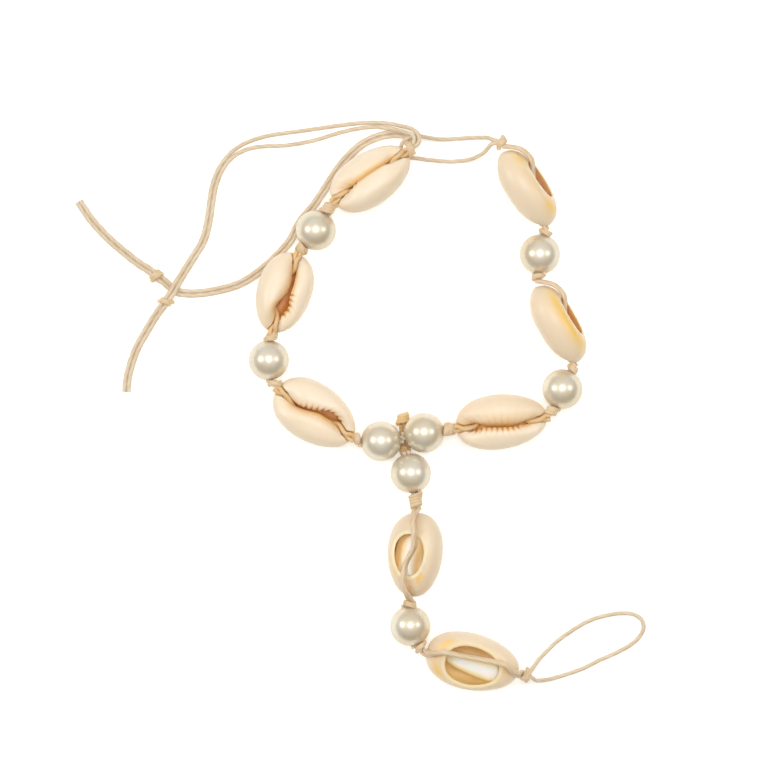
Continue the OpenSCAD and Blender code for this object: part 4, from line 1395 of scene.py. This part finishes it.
# painted shade: how orange the pillar is under a slit
PILLAR_ORANGE_SHADE = 0.9
CREST_HALF = (1.0, 2.2)
CREST_FADE_ASIDE = (0.35, 1.1)
CREST_FADE_BACK = (-1.1, -0.3)


def loft_pillar(shell):
    """The points, faces, caps and stored numbers of a spindle that follows the slit inside the cavity."""
    half_l = shell["length"] / 2
    aside, back, front, height, whiteness = shell["pillar"]
    along = np.linspace(-1, 1, PILLAR_STEPS)[:, None]
    frontness = (along + 1) / 2
    fullness = np.sqrt(np.clip(1 - np.abs(along) ** 6, 0, 1)) + 0.02
    wide = mix(back, front, frontness) * fullness
    deep = mix(*PILLAR_HALF_DEPTHS, frontness) * fullness
    angle = np.arange(PILLAR_SIDES) * math.tau / PILLAR_SIDES
    x = np.tile(along * half_l * PILLAR_SHARE, PILLAR_SIDES)
    y = wide * np.cos(angle) + PILLAR_SLOPE * whiteness * x + aside
    y = y + slit_middle(x / (SLIT_REACH * half_l), shell)
    points = np.stack([x, y, height + deep * np.sin(angle)], axis=-1)
    index = np.arange(PILLAR_STEPS * PILLAR_SIDES).reshape(PILLAR_STEPS, PILLAR_SIDES)
    beyond = np.roll(index, -1, 1)
    faces = np.stack([index[:-1], index[1:], beyond[1:], beyond[:-1]], axis=-1).reshape(-1, 4)
    caps = [index[0].tolist(), index[-1][::-1].tolist()]
    off_crest = np.abs(wide * np.cos(angle)) / mix(*CREST_HALF, frontness)
    crest = (np.sin(angle) < 0) * (1 - ease(off_crest, *CREST_FADE_ASIDE))
    crest = (crest * ease(along, *CREST_FADE_BACK) * whiteness).ravel()
    numbers = {
        "from_lip": FAR_FROM_LIP * MM,
        "inside": 1.0,
        # painted shade: the pillar's sides, away from its crest, take the deeper colour
        "deep": 1 - crest,
        "columella": crest,
        # painted shade: the pillar under a slit is orange
        "orange": max(PILLAR_ORANGE_SHADE * shell["slit_shown"], shell["orange"]),
    }
    return points.reshape(-1, 3), faces[:, ::-1], caps, numbers


print("the pillar has", PILLAR_STEPS * PILLAR_SIDES, "points")

# %% [markdown]
# Shell and pillar become one mesh, with the stored numbers at its points. The teeth are raised while
# the slit still faces up, and only then is the shell laid in its place. A closed mesh whose faces point
# outwards has a volume above nothing, so each volume is printed.


# %% Make the cowries
def fill_mesh(name, points, faces, caps, numbers):
    """A mesh of points in metres with numbers stored at its points."""
    mesh = bpy.data.meshes.new(name)
    mesh.from_pydata(points.tolist(), [], faces.tolist() + caps)
    for label, values in numbers.items():
        mesh.attributes.new(label, "FLOAT", "POINT").data.foreach_set("value", values.astype(np.float32))
    mesh.update()
    return mesh


def signed_volume(mesh):
    """More than nothing where a closed mesh's faces point outwards."""
    mesh.calc_loop_triangles()
    points = np.array([v.co for v in mesh.vertices])
    corners = points[np.array([t.vertices for t in mesh.loop_triangles])]
    return float(np.einsum("ij,ij->i", corners[:, 0], np.cross(corners[:, 1], corners[:, 2])).sum() / 6)


for number, shell in enumerate(SHELLS, 1):
    points, faces, numbers = loft_cowrie(shell)
    pillar_points, pillar_faces, caps, pillar_numbers = loft_pillar(shell)
    start = len(points)
    for label, values in numbers.items():
        more = np.broadcast_to(pillar_numbers.get(label, 0.0), len(pillar_points))
        numbers[label] = np.concatenate([values, more])
    mesh = fill_mesh(
        shell["name"],
        np.concatenate([points, pillar_points]) * MM,
        np.concatenate([faces, pillar_faces + start]),
        [[i + start for i in cap] for cap in caps],
        numbers,
    )
    mesh = apply_tree(bpy.data.objects.new(shell["name"], mesh), teeth_tree, {"Material": glaze})
    points = np.array([v.co for v in mesh.vertices]) / MM
    points = (placed(points, shell) + TO_MIDDLE) * MM
    mesh.vertices.foreach_set("co", points.astype(np.float32).ravel())
    make_piece(f"cowrie_{number}", mesh, [shell["name"]])
    volume = round(signed_volume(mesh) / MM**3)
    print(f"cowrie_{number}", len(mesh.polygons), "faces, volume", volume, "mm3")

# %% [markdown]
# Imitation pearls are plastic or glass beads dipped in pearl essence, mica platelets in clear lacquer.
# The platelets lie flat, so the bead has a metallic sheen below the gloss of the lacquer, warmer where
# one looks along them, at the bead's edge. Its coat is a little uneven, which shows as a faint mist of
# two tones. The beads keep the model's own shape.

# %% Material of the pearls
PEARL_WARM = linear("#E1D4BB")
PEARL_SILVER = linear("#E6DFD0")
PEARL_RIM = linear("#CEBC92")
TONE_WIDTH = 6.25 * MM
MIST_WIDTH = 2.38 * MM

pearl, tree, shader = new_material(
    "pearl_lacquer",
    Metallic=0.5,
    Specular_Tint=PEARL_RIM,
    Roughness=0.34,
    Coat_Weight=0.55,
    Coat_Roughness=0.04,
    Coat_IOR=1.6,
)
tones = patches(tree, TONE_WIDTH, 2.0, 0.35, 0.65)
tree.links.new(coat_over(tree, PEARL_WARM, [(tones, PEARL_SILVER)]), shader.inputs["Base Color"])
add_grain(tree, shader, MIST_WIDTH, 5.0, 0.06, 0.04 * MM)
for number in range(1, len(BEADS) + 1):
    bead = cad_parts[f"bead_{number}"]
    for material_slot in bead.material_slots:
        material_slot.material = pearl
print("pearls finished:", len(BEADS))
